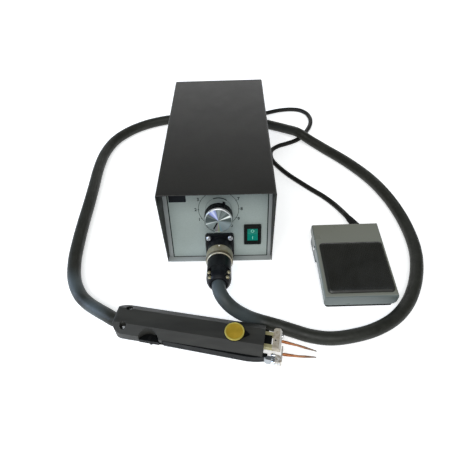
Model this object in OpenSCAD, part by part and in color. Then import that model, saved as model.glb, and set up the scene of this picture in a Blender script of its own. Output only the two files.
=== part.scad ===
// Resistance welding tongs: a control unit, hand-held tongs on a heavy cable, and a foot pedal.
// Millimetres, +Z up. The origin is on the bench, in the middle of the rectangle
// that the three pieces cover, and +Y points to the back of the control unit.

/* [Control unit] */
// Width of the cover
unit_w = 135; // [125:1:165]
// Depth of the cover from front to back
unit_d = 268; // [255:1:325]
// Height of the cover above the underside of the chassis
unit_h = 116; // [114:1:142]
// Thickness of the sheet that the cover is folded from
cover_t = 1.2; // [0.8:0.1:2]
// Thickness of the sheet of the chassis
chassis_t = 1.2; // [0.8:0.1:2]
// Height of the upturned sides of the chassis
flange_h = 14; // [12:1:20]
// Height of the rubber feet
foot_h = 4; // [3:0.5:10]
// Diameter of the rubber feet
foot_d = 18; // [12:1:24]

/* [Front panel] */
// How far the front panel leans back
panel_lean = 13; // [6:1:15]
// How far the foot of the panel stands behind the edge of the cover
panel_foot = 7; // [5:0.5:12]
// Thickness of the panel plate
panel_t = 2; // [1.5:0.1:3]
// Width of the grey frame that shows beside the panel
frame_show = 5; // [4:0.2:9]
// Groove between the panel and its frame
groove = 0.6; // [0.3:0.1:1]
// Width of the blank badge plate
badge_w = 20.8; // [12:0.2:30]
// Height of the blank badge plate
badge_h = 9; // [6:0.2:14]

/* [Dial] */
// Height of the dial's centre up the panel
dial_v = 72.7; // [70:0.1:76]
// Diameter of the dial knob
knob_d = 33; // [28:0.5:38]
// Height of the knob's face above the panel
knob_h = 27; // [22:0.5:32]
// Thickness of the aluminium cap on the knob
knob_cap_t = 3; // [2:0.5:5]
// Diameter of the dial's shaft
shaft_d = 6; // [4:0.5:8]

/* [Power switch] */
// Width of the switch's bezel
bezel_w = 21.6; // [20:0.2:24]
// Height of the switch's bezel
bezel_l = 29.6; // [28:0.2:33]
// Width of the rocker
rocker_w = 14.5; // [12:0.1:16]
// Length of the rocker
rocker_l = 23.2; // [20:0.1:25]
// Angle that the rocker leans each way
rocker_tilt = 7; // [4:1:9]

/* [Cable socket] */
// Height of the socket's centre up the panel
socket_v = 20; // [19.5:0.1:22]
// Side of the socket's square flange
socket_sq = 36; // [33:0.5:36]
// Diameter of the coupling ring
ring_d = 33.3; // [31:0.1:36]
// Diameter of the plug's shell
plug_d = 29; // [27:0.1:31]
// Height of the shell's end above the panel
plug_h = 78; // [74:1:90]

/* [Cables] */
// Diameter of the heavy cable
cable_d = 16; // [13:0.5:17]
// Diameter of the pedal's cable
cord_d = 7.5; // [6:0.5:8]

/* [Tongs] */
// Length of the grip
grip_l = 168; // [162:1:202]
// Width of the grip
grip_w = 36.6; // [34:0.2:44]
// Height of the grip
grip_h = 26.8; // [25:0.2:32.2]
// Width of the flat on the grip's top
flat_w = 18.8; // [12:0.2:24]
// Distance of the lever's pivot from the grip's rear end
pivot_s = 44; // [40:1:52]
// Height of the lever arm
arm_h = 10.5; // [8:0.5:12.5]
// Diameter of the lever's pin
pin_d = 4; // [3:0.5:5]
// Diameter of the force knob's yellow cap
force_d = 21; // [16:0.5:24]
// Distance of the force knob from the grip's rear end
force_s = 136; // [126:1:141]
// Diameter of the electrodes
electrode_d = 2.8; // [2:0.1:3.4]
// Free length of the electrodes
electrode_l = 37; // [30:1:45]

/* [Pedal] */
// Width of the treadle
pedal_w = 85; // [70:0.5:103]
// Length of the treadle
pedal_l = 104; // [100:1:125]
// Height of the treadle's front edge
pedal_front_h = 21.3; // [19:0.1:26]
// Slope of the treadle
pedal_slope = 6.8; // [5:0.1:9]
// Thickness of the treadle's sheet
treadle_t = 1.6; // [1.2:0.1:2.5]
// Thickness of the rubber mat
mat_t = 3.4; // [2:0.1:5]

/* [Places on the bench] */
// Sideways place of the middle of the unit's front edge
unit_x = -43; // [-50:1:-40]
// Depthwise place of the unit's front edge
unit_y = -70; // [-72:1:-60]
// Sideways place of the middle of the grip's rear end
grip_x = -158.9; // [-162:0.1:-156]
// Depthwise place of the middle of the grip's rear end
grip_y = -160.6; // [-163:0.1:-158]
// Direction of the grip
grip_turn = -10.7; // [-12:0.1:-9]
// Sideways place of the pedal's front left corner
pedal_x = 79.1; // [76:0.1:82]
// Depthwise place of the pedal's front left corner
pedal_y = -140.5; // [-144:0.1:-138]
// Direction of the pedal
pedal_turn = 0.8; // [0:0.1:2]

/* [Clearances] */
// Gap round a pin or shaft that turns
run = 0.05; // [0.02:0.01:0.1]
// Gap between sheets that slide together
slip = 0.15; // [0.1:0.05:0.4]
// Gap between pieces that move past each other
pass = 0.4; // [0.3:0.1:0.6]

/* [Hidden] */
$fn = 48;
eps = 0.01;

// Control unit
fold_r = 2.5;
inner_w = unit_w - 2 * cover_t;
inner_h = unit_h - cover_t;
chassis_w = inner_w - 2 * slip;
flange_y = 18;
rear_inset = 4;
rear_t = 2;
screw_d = 3;
screw_head_d = 5.6;
screw_head_t = 2;
cover_screw_z = 8;
cover_screw_ys = [30, unit_d - 30];
foot_xs = [-unit_w / 2 + 17, unit_w / 2 - 17];
foot_ys = [26, unit_d - 25];

// Front panel, in its own plane: u to the right, v up, h out of the panel
panel_u = 0.6;
panel_w = chassis_w - 2 * (frame_show + groove);
panel_v0 = (chassis_t + 0.5) / cos(panel_lean);
panel_top = 5;
frame_v1 = (inner_h - 0.6) / cos(panel_lean);
panel_v1 = frame_v1 - panel_top - groove;
frame_t = panel_t + 1.2;
frame_lap = 4.5;
badge_t = 0.5;
badge_u = -58.7 + badge_w / 2;
badge_v = 84 + badge_h / 2;
dial_u = 1.4;
bushing_d = 9.5;
bushing_h = 5.5;
pot_d = 24;
pot_depth = 10;
nut_across = 13.8;
nut_t = 2.2;
flutes = 24;
rocker_u = 42.6;
rocker_v = 35.4;
bezel_t = 2;
rocker_gap = 0.25;
rocker_axis_h = -0.4;
rocker_pin_d = 2.4;
rocker_pin_l = 1.6;
lens_w = 13.2;
lens_l = 16.3;
lens_t = 1;
switch_depth = 20;
socket_u = 0.8;
socket_t = 5;
socket_screw = 13.7;
collar_d = 30;
collar_h = 21.6;
barrel_d = 28;
barrel_h = 30;
ring_h0 = 22;
ring_h1 = 38.5;
neck_d = 24;
plug_body_h = 38.8;
plug_round_h = plug_h - 10;
cable_seat_h = 60;
clamp_h0 = 59.5;
clamp_h1 = 76.5;
clamp_screws_at = [[11.2, 64.5], [9.8, 73]];
clamp_screw_d = 2.6;
clamp_flat_v = 6.2;

// Inside the unit
core_w = 84;
core_d = 56;
core_h = 70;
core_y = 160;
leg_w = 28;
window_w = 14;
strap_t = 1.5;
strap_d = 26;
board_w = 100;
board_l = 70;
board_t = 1.6;
board_y = 62;
standoff_h = 10;

// Back of the unit
inlet_x = -32;
inlet_z = 34;
inlet_w = 50;
inlet_h = 23;
inlet_body_w = 27;
inlet_body_h = 19.4;
gland_x = 40;
gland_z = 31;
gland_l = 20;

// Tongs, in the grip's own frame: s along it from the rear, p to its far side
grip_mid = grip_h / 2;
side_h = 11.2;
notch_r = 12.5;
notch_p = -22.5;
pivot_p = -15;
slot_lip = 0.5;
arm_z = grip_mid + side_h / 2 - slot_lip - pass - arm_h;
boss_h = 5.5;
slot_p = -9.6;
arm_in_p = -13.3;
arm_out_p = -20.6;
post_ps = [10.6, -4];
post_w = 3.8;
post_z0 = 11.2;
post_h = 6.2;
post_s0 = grip_l - 16;
bar_s = grip_l + 8.8;
bar_t = 9.2;
bar_z0 = 9.5;
bar_h = 8;
bar_p0 = -5.4;
bar_p1 = 18;
force_p = -0.4;
knob_z = grip_h + 0.3;
knob_disc_t = 2;
force_cap_t = 1.7;
spindle_d = 5;
front_plate_s = bar_s + bar_t + 0.9;
front_plate_t = 1.4;
plate_z0 = 10.5;
plate_h = 6.6;
plate_p0 = -22;
plate_p1 = -0.6;
spring_s = 106;
spring_r = 2.6;
spring_wire = 0.9;
spring_p0 = -5.5;
spring_p1 = -15.2;
spring_bore = 7;
grip_screw_s = 13.8;
grip_screw_p = 11;
grip_seat_z = grip_h - 8.6;
lever_bolt_p = -12.1;
outer_bolt_p = -19.9;
bolt_d = 3;
bolt_head_d = 5.4;
bolt_head_t = 3;
electrode_z = bar_z0 + bar_h / 2;
fixed_p = 5.4;
moving_p = -9.2;

// Pedal, u to the right and v to the back from its front left corner
pedal_inset = 5;
pivot_v = 73;
pivot_z = 23;
base_z = 1.6;
base_t = 2;
ear_t = 2;
ear_gap = 0.5;
switch_v = 42;
switch_u = 56;
plunger_d = 4;
tread_spring_u = 26;
tread_spring_v = 24;
tread_spring_r = 5;
tread_spring_wire = 1.2;
mat_u0 = 4.4;
mat_u1 = pedal_w - 3.3;
mat_v0 = 4.6;
mat_v1 = 74.2;
front_drop = 16.9;
ear_v = 67;
pedal_gland_u = 67;
pedal_gland_z = 13;

// The gland's boot, in the pedal's frame: it bends with the cable and tapers down to it
boot_v = pedal_l - 2;
boot_route = [
    [pedal_gland_u, boot_v, pedal_gland_z], [pedal_gland_u, boot_v + 6, pedal_gland_z],
    [pedal_gland_u - 1.7, boot_v + 16, pedal_gland_z],
    [pedal_gland_u - 5, boot_v + 25, pedal_gland_z - 0.1],
    [pedal_gland_u - 7.6, boot_v + 33, pedal_gland_z - 1]
];
boot_rs = [6.4, 6.2, 5.8, 4.9, 4.3];

// Route of the heavy cable's middle, from the plug to the grip, on the bench
cable_route = [
    [-42.2, -134.5, 41], [-41.5, -142, 42.2], [-38.5, -149.5, 41.2], [-33, -155.5, 37], [-25.5, -159, 30],
    [-16.5, -160.3, 21.5], [-7, -160.8, 14], [3, -162, 9.4], [14, -165, 8.1], [27.5, -169.7, 8],
    [43, -175.8, 8], [59, -181.3, 8], [79, -184.3, 8], [102, -182, 8], [128.5, -175, 8],
    [153.5, -162.2, 8], [174.3, -143.2, 8], [191.2, -118, 8], [203.4, -90, 8], [210.8, -61, 8],
    [213, -30, 8], [211, 5, 8], [204, 42, 8], [190, 82, 8], [167, 122, 8],
    [139, 159, 8], [112, 187, 11.8], [92, 206, 16.4], [72, 226, 12], [46, 246, 8.2],
    [14, 262, 8], [-25, 271, 8], [-68, 276, 8], [-110, 277, 8], [-148, 272, 8],
    [-184, 258, 8], [-213, 236, 8], [-234, 206, 8], [-244, 168, 8], [-245.5, 126, 8],
    [-243, 84, 8], [-240.8, 42, 8], [-239.2, 2, 8], [-237, -34, 8], [-233.4, -68, 8],
    [-226, -98, 8], [-213.7, -120.5, 8.2], [-200, -134.5, 9.4], [-185.5, -145, 11.4], [-172, -153.5, 12.8],
    [-166, -157.3, 13.2]
];
// Route of the pedal cable's middle, from the unit's back to the pedal
cord_route = [
    [-3, 222, 35], [-3, 231, 33.6], [-2, 241, 30], [2, 252, 25.5], [7, 262, 22], [14, 272, 18.6],
    [22, 281, 11.8], [32, 289, 6.8], [44, 295.5, 4.2], [56, 300.5, 3.8], [70, 304.8, 3.8],
    [89, 307, 3.8], [107, 303.5, 3.8], [119, 292, 3.8], [124, 276, 3.8], [123.5, 260, 3.8],
    [119, 244, 3.8], [111, 228, 3.8], [101, 212, 3.8], [88, 200, 3.8], [73, 192, 3.8],
    [56.5, 184.5, 3.8], [44.5, 173.5, 3.8], [41, 158.5, 3.8], [43.5, 142, 3.8], [52, 125, 3.8],
    [64, 106.5, 3.8], [79, 88, 3.8], [96, 68.5, 3.8], [112.6, 50, 3.9], [125, 31, 4.8],
    [131.9, 12.2, 8.4]
];

// Frames
module at_unit() {
    translate([unit_x, unit_y, foot_h]) children();
}
module at_panel(u = 0, v = 0, h = 0) {
    at_unit() translate([0, panel_foot, 0]) rotate([90 - panel_lean, 0, 0]) translate([u, v, h]) children();
}
module at_grip() {
    translate([grip_x, grip_y, 0]) rotate([0, 0, grip_turn]) children();
}
module at_pedal() {
    translate([pedal_x, pedal_y, 0]) rotate([0, 0, pedal_turn]) children();
}
module at_slope() {
    at_pedal() translate([0, 0, pedal_front_h]) rotate([pedal_slope, 0, 0]) children();
}

// Rectangle with round corners, centred
module round_rect(w, l, r) {
    square([w - 2 * r, l], center = true);
    square([w, l - 2 * r], center = true);
    for (x = [-1, 1], y = [-1, 1]) translate([x * (w / 2 - r), y * (l / 2 - r)]) circle(r);
}
// Outline of a sheet folded down at both sides, seen from the front
module folded_outline(w, h, r) {
    translate([-w / 2, 0]) square([w, h - r]);
    translate([-w / 2 + r, 0]) square([w - 2 * r, h]);
    for (x = [-1, 1]) translate([x * (w / 2 - r), h - r]) circle(r);
}
// A drawing in X and Z, drawn out to the back
module along_y(l) {
    translate([0, l, 0]) rotate([90, 0, 0]) linear_extrude(l) children();
}
// A drawing in Y and Z, drawn out to the right
module along_x(l) {
    rotate([90, 0, 90]) linear_extrude(l) children();
}
// Pan head screw: its head stands on Z = 0 and its shank hangs below
module pan_screw(d, l, head_d, head_t) {
    translate([0, 0, -l]) cylinder(d = d, h = l + eps);
    difference() {
        union() {
            cylinder(d = head_d, h = head_t * 0.6);
            translate([0, 0, head_t * 0.6 - eps])
                cylinder(d1 = head_d, d2 = head_d * 0.7, h = head_t * 0.4 + eps);
        }
        for (a = [0, 90]) rotate([0, 0, a])
            translate([-head_d * 0.3, -0.35, head_t * 0.55]) cube([head_d * 0.6, 0.7, head_t]);
    }
}

// Direction of a route at one of its points
function toward(route, i) =
    let (a = route[max(i - 1, 0)], b = route[min(i + 1, len(route) - 1)], d = b - a) d / norm(d);
function side_of(t) = let (s = cross(t, [0, 0, 1])) s / norm(s);
function ring_points(c, t, r, sides) =
    let (s = side_of(t), n = cross(s, t))
    [for (k = [0:sides - 1]) c + r * (cos(360 * (k + 0.5) / sides) * s + sin(360 * (k + 0.5) / sides) * n)];
// A tube that follows a route, one ring of corners at each point. Its radius is one number or a list.
module swept(route, r, sides) {
    n = len(route);
    points = [for (i = [0:n - 1])
        each ring_points(route[i], toward(route, i), is_list(r) ? r[i] : r, sides)];
    walls = [for (i = [0:n - 2], k = [0:sides - 1])
        let (a = i * sides + k, b = i * sides + (k + 1) % sides) [a, b, b + sides, a + sides]];
    caps = [[for (k = [sides - 1:-1:0]) k], [for (k = [0:sides - 1]) (n - 1) * sides + k]];
    polyhedron(points, concat(caps, walls), convexity = 10);
}
// A coil spring that stands on Z = 0
module coil(r, wire, height, turns) {
    steps = 10;
    rise = height - wire;
    route = [for (i = [0:turns * steps])
        [r * cos(360 * i / steps), r * sin(360 * i / steps), wire / 2 + rise * i / (turns * steps)]];
    swept(route, wire / 2, 6);
}

// Control unit
module cover() {
    color("#2b2a27") at_unit() difference() {
        along_y(unit_d) folded_outline(unit_w, unit_h, fold_r);
        translate([0, -1, -1]) along_y(unit_d + 2) folded_outline(inner_w, inner_h + 1, fold_r - cover_t);
        for (y = cover_screw_ys) translate([-unit_w, y, cover_screw_z])
            rotate([0, 90, 0]) cylinder(d = screw_d + 0.4, h = 2 * unit_w);
    }
}
module chassis() {
    color("#8d9294") at_unit() difference() {
        translate([0, 0, flange_h]) mirror([0, 0, 1]) along_y(unit_d)
            folded_outline(chassis_w, flange_h, 2);
        translate([0, -1, flange_h + 1]) mirror([0, 0, 1]) along_y(unit_d + 2)
            folded_outline(chassis_w - 2 * chassis_t, flange_h + 1 - chassis_t, 2 - chassis_t / 2);
        translate([-unit_w / 2, -1, chassis_t]) cube([unit_w, flange_y + 1, flange_h]);
        translate([-unit_w / 2, unit_d - rear_inset, chassis_t]) cube([unit_w, rear_inset + 1, flange_h]);
        for (y = cover_screw_ys) translate([-unit_w, y, cover_screw_z])
            rotate([0, 90, 0]) cylinder(d = screw_d, h = 2 * unit_w);
    }
}
// What stands on the floor of the chassis, inside the cover
module above_floor() {
    intersection() {
        children();
        at_unit() translate([-unit_w, -unit_d, chassis_t])
            cube([2 * unit_w, 3 * unit_d, inner_h - chassis_t]);
    }
}
module front_frame() {
    color("#85898a") above_floor() difference() {
        at_panel(0, -10, -frame_t) translate([-chassis_w / 2, 0, 0])
            cube([chassis_w, frame_v1 + 10, frame_t]);
        at_panel(panel_u, -20, -panel_t) translate([-panel_w / 2 - groove, 0, 0])
            cube([panel_w + 2 * groove, panel_v1 + groove + 20, panel_t + 1]);
        at_panel(panel_u, -20, -frame_t - 1) translate([-panel_w / 2 + frame_lap, 0, 0])
            cube([panel_w - 2 * frame_lap, panel_v1 - frame_lap + 20, frame_t + 2]);
    }
}
module front_panel() {
    color("#8f9a96") difference() {
        at_panel(panel_u, panel_v0, -panel_t) translate([-panel_w / 2, 0, 0])
            cube([panel_w, panel_v1 - panel_v0, panel_t]);
        at_panel(dial_u, dial_v, -panel_t - 1) cylinder(d = bushing_d + 0.3, h = panel_t + 2);
        at_panel(rocker_u, rocker_v, -panel_t - 1)
            translate([-bezel_w / 2 + 1.2, -bezel_l / 2 + 1.3, 0])
                cube([bezel_w - 2.4, bezel_l - 2.6, panel_t + 2]);
        at_panel(socket_u, socket_v, -panel_t - 1) cylinder(d = collar_d, h = panel_t + 2);
        for (u = [-1, 1], v = [-1, 1])
            at_panel(socket_u + u * socket_screw, socket_v + v * socket_screw, -panel_t - 1)
            cylinder(d = screw_d, h = panel_t + 2);
    }
}
module badge_plate() {
    color("#20242a") at_panel(badge_u, badge_v) linear_extrude(badge_t) round_rect(badge_w, badge_h, 0.6);
}
module rear_panel() {
    vents = 11;
    vent_w = 3;
    vent_l = 34;
    vent_pitch = 8;
    color("#8d9294") at_unit() difference() {
        translate([0, unit_d - rear_inset, chassis_t]) along_y(rear_t)
            folded_outline(chassis_w, inner_h - chassis_t - slip, fold_r);
        for (i = [0:vents - 1]) translate([(i - (vents - 1) / 2) * vent_pitch, unit_d - rear_inset - 1, 66])
            along_y(rear_t + 2) union() {
                translate([-vent_w / 2, 0]) square([vent_w, vent_l]);
                for (z = [0, vent_l]) translate([0, z]) circle(d = vent_w);
            }
        translate([inlet_x - inlet_body_w / 2, unit_d - rear_inset - 1, inlet_z - inlet_body_h / 2])
            cube([inlet_body_w, rear_t + 2, inlet_body_h]);
        for (x = [-20, 20]) translate([inlet_x + x, unit_d - rear_inset - 1, inlet_z])
            along_y(rear_t + 2) circle(d = screw_d);
        translate([gland_x, unit_d - rear_inset - 1, gland_z]) along_y(rear_t + 2) circle(d = 12);
    }
}
module unit_feet() {
    color("#1c1c1c") at_unit() for (x = foot_xs, y = foot_ys) translate([x, y, -foot_h]) difference() {
        cylinder(d1 = foot_d - 2.5, d2 = foot_d, h = foot_h);
        translate([0, 0, -eps]) cylinder(d = foot_d * 0.35, h = foot_h * 0.5);
    }
}
module cover_screws() {
    color("#3a3a3a") at_unit() for (side = [-1, 1], y = cover_screw_ys)
        translate([side * unit_w / 2, y, cover_screw_z]) rotate([0, side * 90, 0])
            pan_screw(screw_d, 6, screw_head_d, screw_head_t);
}

// Inside the control unit
module transformer_core() {
    color("#55585c") at_unit() translate([0, core_y, chassis_t]) along_y(core_d) difference() {
        translate([-core_w / 2, 0]) square([core_w, core_h]);
        for (side = [-1, 1]) translate([side * (leg_w + window_w) / 2, core_h / 2])
            square([window_w, core_h - leg_w], center = true);
    }
}
module transformer_coil() {
    turn_w = window_w - 0.8;
    color("#a5642f") at_unit() translate([0, core_y + core_d / 2, chassis_t + leg_w / 2 + 0.5])
        linear_extrude(core_h - leg_w - 1) difference() {
            round_rect(leg_w + 2 * turn_w, core_d + 2 * turn_w, 8);
            square([leg_w + 0.4, core_d + 0.4], center = true);
        }
}
module transformer_bracket() {
    out_w = core_w / 2 + strap_t;
    color("#a9adb0") at_unit() translate([0, core_y + (core_d - strap_d) / 2, chassis_t]) difference() {
        along_y(strap_d) difference() {
            union() {
                translate([-out_w, 0]) square([2 * out_w, core_h + strap_t]);
                translate([-out_w - 13, 0]) square([2 * out_w + 26, strap_t]);
            }
            translate([-core_w / 2, -1]) square([core_w, core_h + 1]);
        }
        for (side = [-1, 1]) translate([side * (out_w + 7), strap_d / 2, -1])
            cylinder(d = 4.2, h = strap_t + 2);
    }
}
module control_board() {
    color("#2d6a45") at_unit() translate([0, board_y + board_l / 2, chassis_t + standoff_h]) difference() {
        linear_extrude(board_t) round_rect(board_w, board_l, 2);
        for (x = [-1, 1], y = [-1, 1]) translate([x * (board_w / 2 - 5), y * (board_l / 2 - 5), -1])
            cylinder(d = 3.2, h = board_t + 2);
    }
}
module board_standoffs() {
    color("#b99d57") at_unit() for (x = [-1, 1], y = [-1, 1])
        translate([x * (board_w / 2 - 5), board_y + board_l / 2 + y * (board_l / 2 - 5), chassis_t]) {
            cylinder(d = 6, h = standoff_h, $fn = 6);
            cylinder(d = 3.2, h = standoff_h + board_t + 1.5);
        }
}
module board_parts() {
    fin_n = 7;
    top_z = chassis_t + standoff_h + board_t;
    color("#3c4250") at_unit() translate([0, board_y, top_z]) {
        // finned cooler of the power switch
        translate([-34, 16, 0]) linear_extrude(32) union() {
            square([40, 4]);
            for (i = [0:fin_n - 1]) translate([i * 37.6 / (fin_n - 1), 0]) square([2.4, 20]);
        }
        translate([22, 22, 0]) cylinder(d = 16, h = 25);
        translate([22, 46, 0]) cylinder(d = 10, h = 16);
        translate([-30, 50, 0]) cube([30, 11, 12]);
    }
}

// Dial
module potentiometer() {
    color("#b8bcbf") difference() {
        union() {
            at_panel(dial_u, dial_v, -panel_t - pot_depth) cylinder(d = pot_d, h = pot_depth);
            at_panel(dial_u, dial_v, -panel_t - eps) cylinder(d = bushing_d, h = panel_t + bushing_h);
            at_panel(dial_u, dial_v, 0) cylinder(d = nut_across, h = nut_t, $fn = 6);
            for (x = [-5, 0, 5]) at_panel(dial_u + x, dial_v - pot_d / 2 - 5, -panel_t - 6)
                translate([-1, 0, 0]) cube([2, 7, 0.8]);
        }
        at_panel(dial_u, dial_v, -panel_t - pot_depth + 1.5)
            cylinder(d = shaft_d + 2 * run, h = pot_depth + panel_t + bushing_h + 1);
    }
}
module knob_shaft() {
    color("#c9ccd0") at_panel(dial_u, dial_v, -panel_t - pot_depth + 1.7)
        cylinder(d = shaft_d, h = pot_depth + panel_t - 1.7 + knob_h - knob_cap_t - 3);
}
module knob_body() {
    gap = 1.2;
    nib_l = 3.6;
    hub_d = 22;
    skirt_l = 6.8;
    top = knob_h - knob_cap_t;
    color("#17181a") difference() {
        union() {
            at_panel(dial_u, dial_v, gap) cylinder(d = hub_d, h = top - gap);
            at_panel(dial_u, dial_v, top - skirt_l) cylinder(d = knob_d + 0.6, h = skirt_l);
            // pointer on the skirt
            at_panel(dial_u, dial_v, top - skirt_l) rotate([0, 0, 68]) linear_extrude(3)
                polygon([[knob_d / 2 - 3, -3.4], [knob_d / 2 + nib_l, -1], [knob_d / 2 + nib_l, 1],
                         [knob_d / 2 - 3, 3.4]]);
        }
        at_panel(dial_u, dial_v, 0) cylinder(d = nut_across + 4, h = bushing_h + 1.2);
        at_panel(dial_u, dial_v, 0) cylinder(d = shaft_d, h = knob_h - knob_cap_t - 3);
        for (i = [0:flutes - 1]) at_panel(dial_u, dial_v, top - skirt_l + 3)
            rotate([0, 0, i * 360 / flutes])
            translate([knob_d / 2 + 0.6, 0, 0]) cylinder(r = 0.9, h = knob_h);
    }
}
module knob_cap() {
    color("#cfd2d3") at_panel(dial_u, dial_v, knob_h - knob_cap_t) difference() {
        rotate_extrude() polygon([[0, 0], [knob_d / 2, 0], [knob_d / 2, knob_cap_t - 0.7],
            [knob_d / 2 - 0.7, knob_cap_t], [knob_d / 2 - 1.8, knob_cap_t],
            [knob_d / 2 - 2.1, knob_cap_t - 0.3],
            [0, knob_cap_t - 0.3]]);
        // pointer line
        rotate([0, 0, 242]) translate([3.6, -0.7, knob_cap_t - 0.7]) cube([9.2, 1.4, 1]);
    }
}

// Power switch
module switch_housing() {
    hole_w = rocker_w + 2 * rocker_gap;
    hole_l = rocker_l + 1.2;
    color("#161616") difference() {
        union() {
            at_panel(rocker_u, rocker_v) linear_extrude(bezel_t) round_rect(bezel_w, bezel_l, 1);
            at_panel(rocker_u, rocker_v, -switch_depth)
                translate([-bezel_w / 2 + 1.2, -bezel_l / 2 + 1.3, 0])
                cube([bezel_w - 2.4, bezel_l - 2.6, switch_depth + eps]);
            for (v = [-8, 8]) at_panel(rocker_u, rocker_v + v, -switch_depth - 7)
                translate([-3, -0.4, 0]) cube([6, 0.8, 7 + eps]);
        }
        at_panel(rocker_u, rocker_v, -10) translate([-hole_w / 2, -hole_l / 2, 0])
            cube([hole_w, hole_l, 20]);
        at_panel(rocker_u, rocker_v, rocker_axis_h) rotate([0, 90, 0])
            cylinder(d = rocker_pin_d + 2 * run, h = hole_w + 2 * rocker_pin_l, center = true);
    }
}
module at_rocker() {
    at_panel(rocker_u, rocker_v, rocker_axis_h) rotate([-rocker_tilt, 0, 0]) children();
}
// Side view of the rocker about its pivot: a shallow valley between two raised ends
module rocker_side(lift) {
    half = rocker_l / 2;
    polygon([[-half, 2.9 + lift], [0, 1.3 + lift], [half, 2.9 + lift], [half, -2], [6, -6], [-6, -6],
        [-half, -2]]);
}
module switch_rocker() {
    color("#18191a") at_rocker() difference() {
        union() {
            translate([-rocker_w / 2, 0, 0]) along_x(rocker_w) rocker_side(0);
            rotate([0, 90, 0])
                cylinder(d = rocker_pin_d, h = rocker_w + 2 * rocker_pin_l - 0.4, center = true);
        }
        intersection() {
            translate([-lens_w / 2, -lens_l / 2, 0]) cube([lens_w, lens_l, 20]);
            difference() {
                translate([-lens_w, 0, 0]) along_x(2 * lens_w) rocker_side(5);
                translate([-lens_w, 0, 0]) along_x(2 * lens_w) rocker_side(-lens_t);
            }
        }
    }
}
module rocker_lens() {
    color("#0d8a6a") at_rocker() intersection() {
        translate([-lens_w / 2, -lens_l / 2, 0]) cube([lens_w, lens_l, 20]);
        difference() {
            translate([-lens_w / 2, 0, 0]) along_x(lens_w) rocker_side(0.25);
            translate([-lens_w, 0, 0]) along_x(2 * lens_w) rocker_side(-lens_t);
        }
    }
}

// Socket and plug of the heavy cable
module socket_flange() {
    color("#151617") at_panel(socket_u, socket_v) difference() {
        union() {
            linear_extrude(socket_t) round_rect(socket_sq, socket_sq, 3);
            translate([0, 0, -12]) cylinder(d = collar_d, h = 12 + collar_h);
            cylinder(d = barrel_d, h = barrel_h);
        }
        translate([0, 0, -20]) cylinder(d = neck_d, h = 60);
        for (u = [-1, 1], v = [-1, 1]) translate([u * socket_screw, v * socket_screw, -1])
            cylinder(d = screw_d, h = socket_t + 2);
    }
}
module socket_insert() {
    color("#6d4a32") at_panel(socket_u, socket_v, -16) cylinder(d = neck_d, h = 32);
}
module socket_screws() {
    color("#c8cacc") for (u = [-1, 1], v = [-1, 1])
        at_panel(socket_u + u * socket_screw, socket_v + v * socket_screw, socket_t)
            pan_screw(screw_d, socket_t + panel_t + 3, 6.4, 2.6);
}
module coupling_ring() {
    color("#8d8674") at_panel(socket_u, socket_v) difference() {
        rotate_extrude() polygon([[barrel_d / 2 + run, ring_h0], [ring_d / 2 - 0.8, ring_h0],
            [ring_d / 2, ring_h0 + 0.8], [ring_d / 2, ring_h1 - 3], [plug_d / 2 + 0.4, ring_h1],
            [neck_d / 2 + run, ring_h1], [neck_d / 2 + run, barrel_h + 1.2],
            [barrel_d / 2 + run, barrel_h + 1.2]]);
        // the small round mark that shows the plug's place
        translate([0, ring_d / 2, ring_h0 + 3.2]) rotate([90, 0, 0])
            cylinder(d = 1.8, h = 0.9, center = true);
    }
}
module plug_shell() {
    bore = cable_d + 0.6;
    color("#16171a") at_panel(socket_u, socket_v) difference() {
        rotate_extrude() polygon([[0, barrel_h - 13], [neck_d / 2 - 0.6, barrel_h - 13],
            [neck_d / 2 - 0.6, barrel_h + 0.3],
            [neck_d / 2, barrel_h + 0.3], [neck_d / 2, plug_body_h],
            [plug_d / 2 - 0.8, plug_body_h], [plug_d / 2, plug_body_h + 0.8], [plug_d / 2, plug_round_h],
            [plug_d / 2 - 0.5, plug_round_h + 3.6], [plug_d / 2 - 1.7, plug_round_h + 6.8],
            [plug_d / 2 - 3.2, plug_round_h + 9], [bore / 2 + 1.4, plug_h], [0, plug_h]]);
        translate([0, 0, cable_seat_h]) cylinder(d = bore, h = 40);
        translate([-plug_d, 2, clamp_h0 - 0.3]) cube([2 * plug_d, plug_d, clamp_h1 - clamp_h0 + 0.6]);
        translate([0, 0, clamp_h0 - 0.3]) cylinder(d = bore, h = 20);
        for (side = [-1, 1], at = clamp_screws_at) translate([side * at[0], 4, at[1]]) rotate([90, 0, 0])
            cylinder(d = clamp_screw_d, h = 9);
    }
}
// Saddle that grips the cable, its two ears held down on the shell
module cable_clamp() {
    bore = cable_d + 0.6;
    out = plug_d / 2 - 0.3;
    color("#1b1c1f") at_panel(socket_u, socket_v) difference() {
        intersection() {
            rotate_extrude() polygon([[0, clamp_h0], [out, clamp_h0], [out, plug_round_h],
                [out - 0.5, plug_round_h + 3.6], [out - 1.7, plug_round_h + 6.8],
                [out - 2.9, clamp_h1], [0, clamp_h1]]);
            translate([-plug_d, 2, 0]) cube([2 * plug_d, plug_d, plug_h]);
        }
        cylinder(d = bore, h = plug_h);
        for (side = [-1, 1]) {
            translate([side * 14.6 - 6, clamp_flat_v, clamp_h0 - 1]) cube([12, 20, 40]);
            for (at = clamp_screws_at) translate([side * at[0], 20, at[1]]) rotate([90, 0, 0]) {
                cylinder(d = clamp_screw_d, h = 30);
                cylinder(d = 5.2, h = 20 - clamp_flat_v);
            }
        }
    }
}
module clamp_screws() {
    color("#c2bfae") for (side = [-1, 1], at = clamp_screws_at)
        at_panel(socket_u + side * at[0], socket_v + clamp_flat_v, at[1]) rotate([-90, 0, 0])
            pan_screw(clamp_screw_d, clamp_flat_v + 4, 4.6, 2);
}

// Back of the control unit
module at_rear(x, z) {
    at_unit() translate([x, unit_d - rear_inset + rear_t, z]) rotate([90, 0, 180]) children();
}
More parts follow.
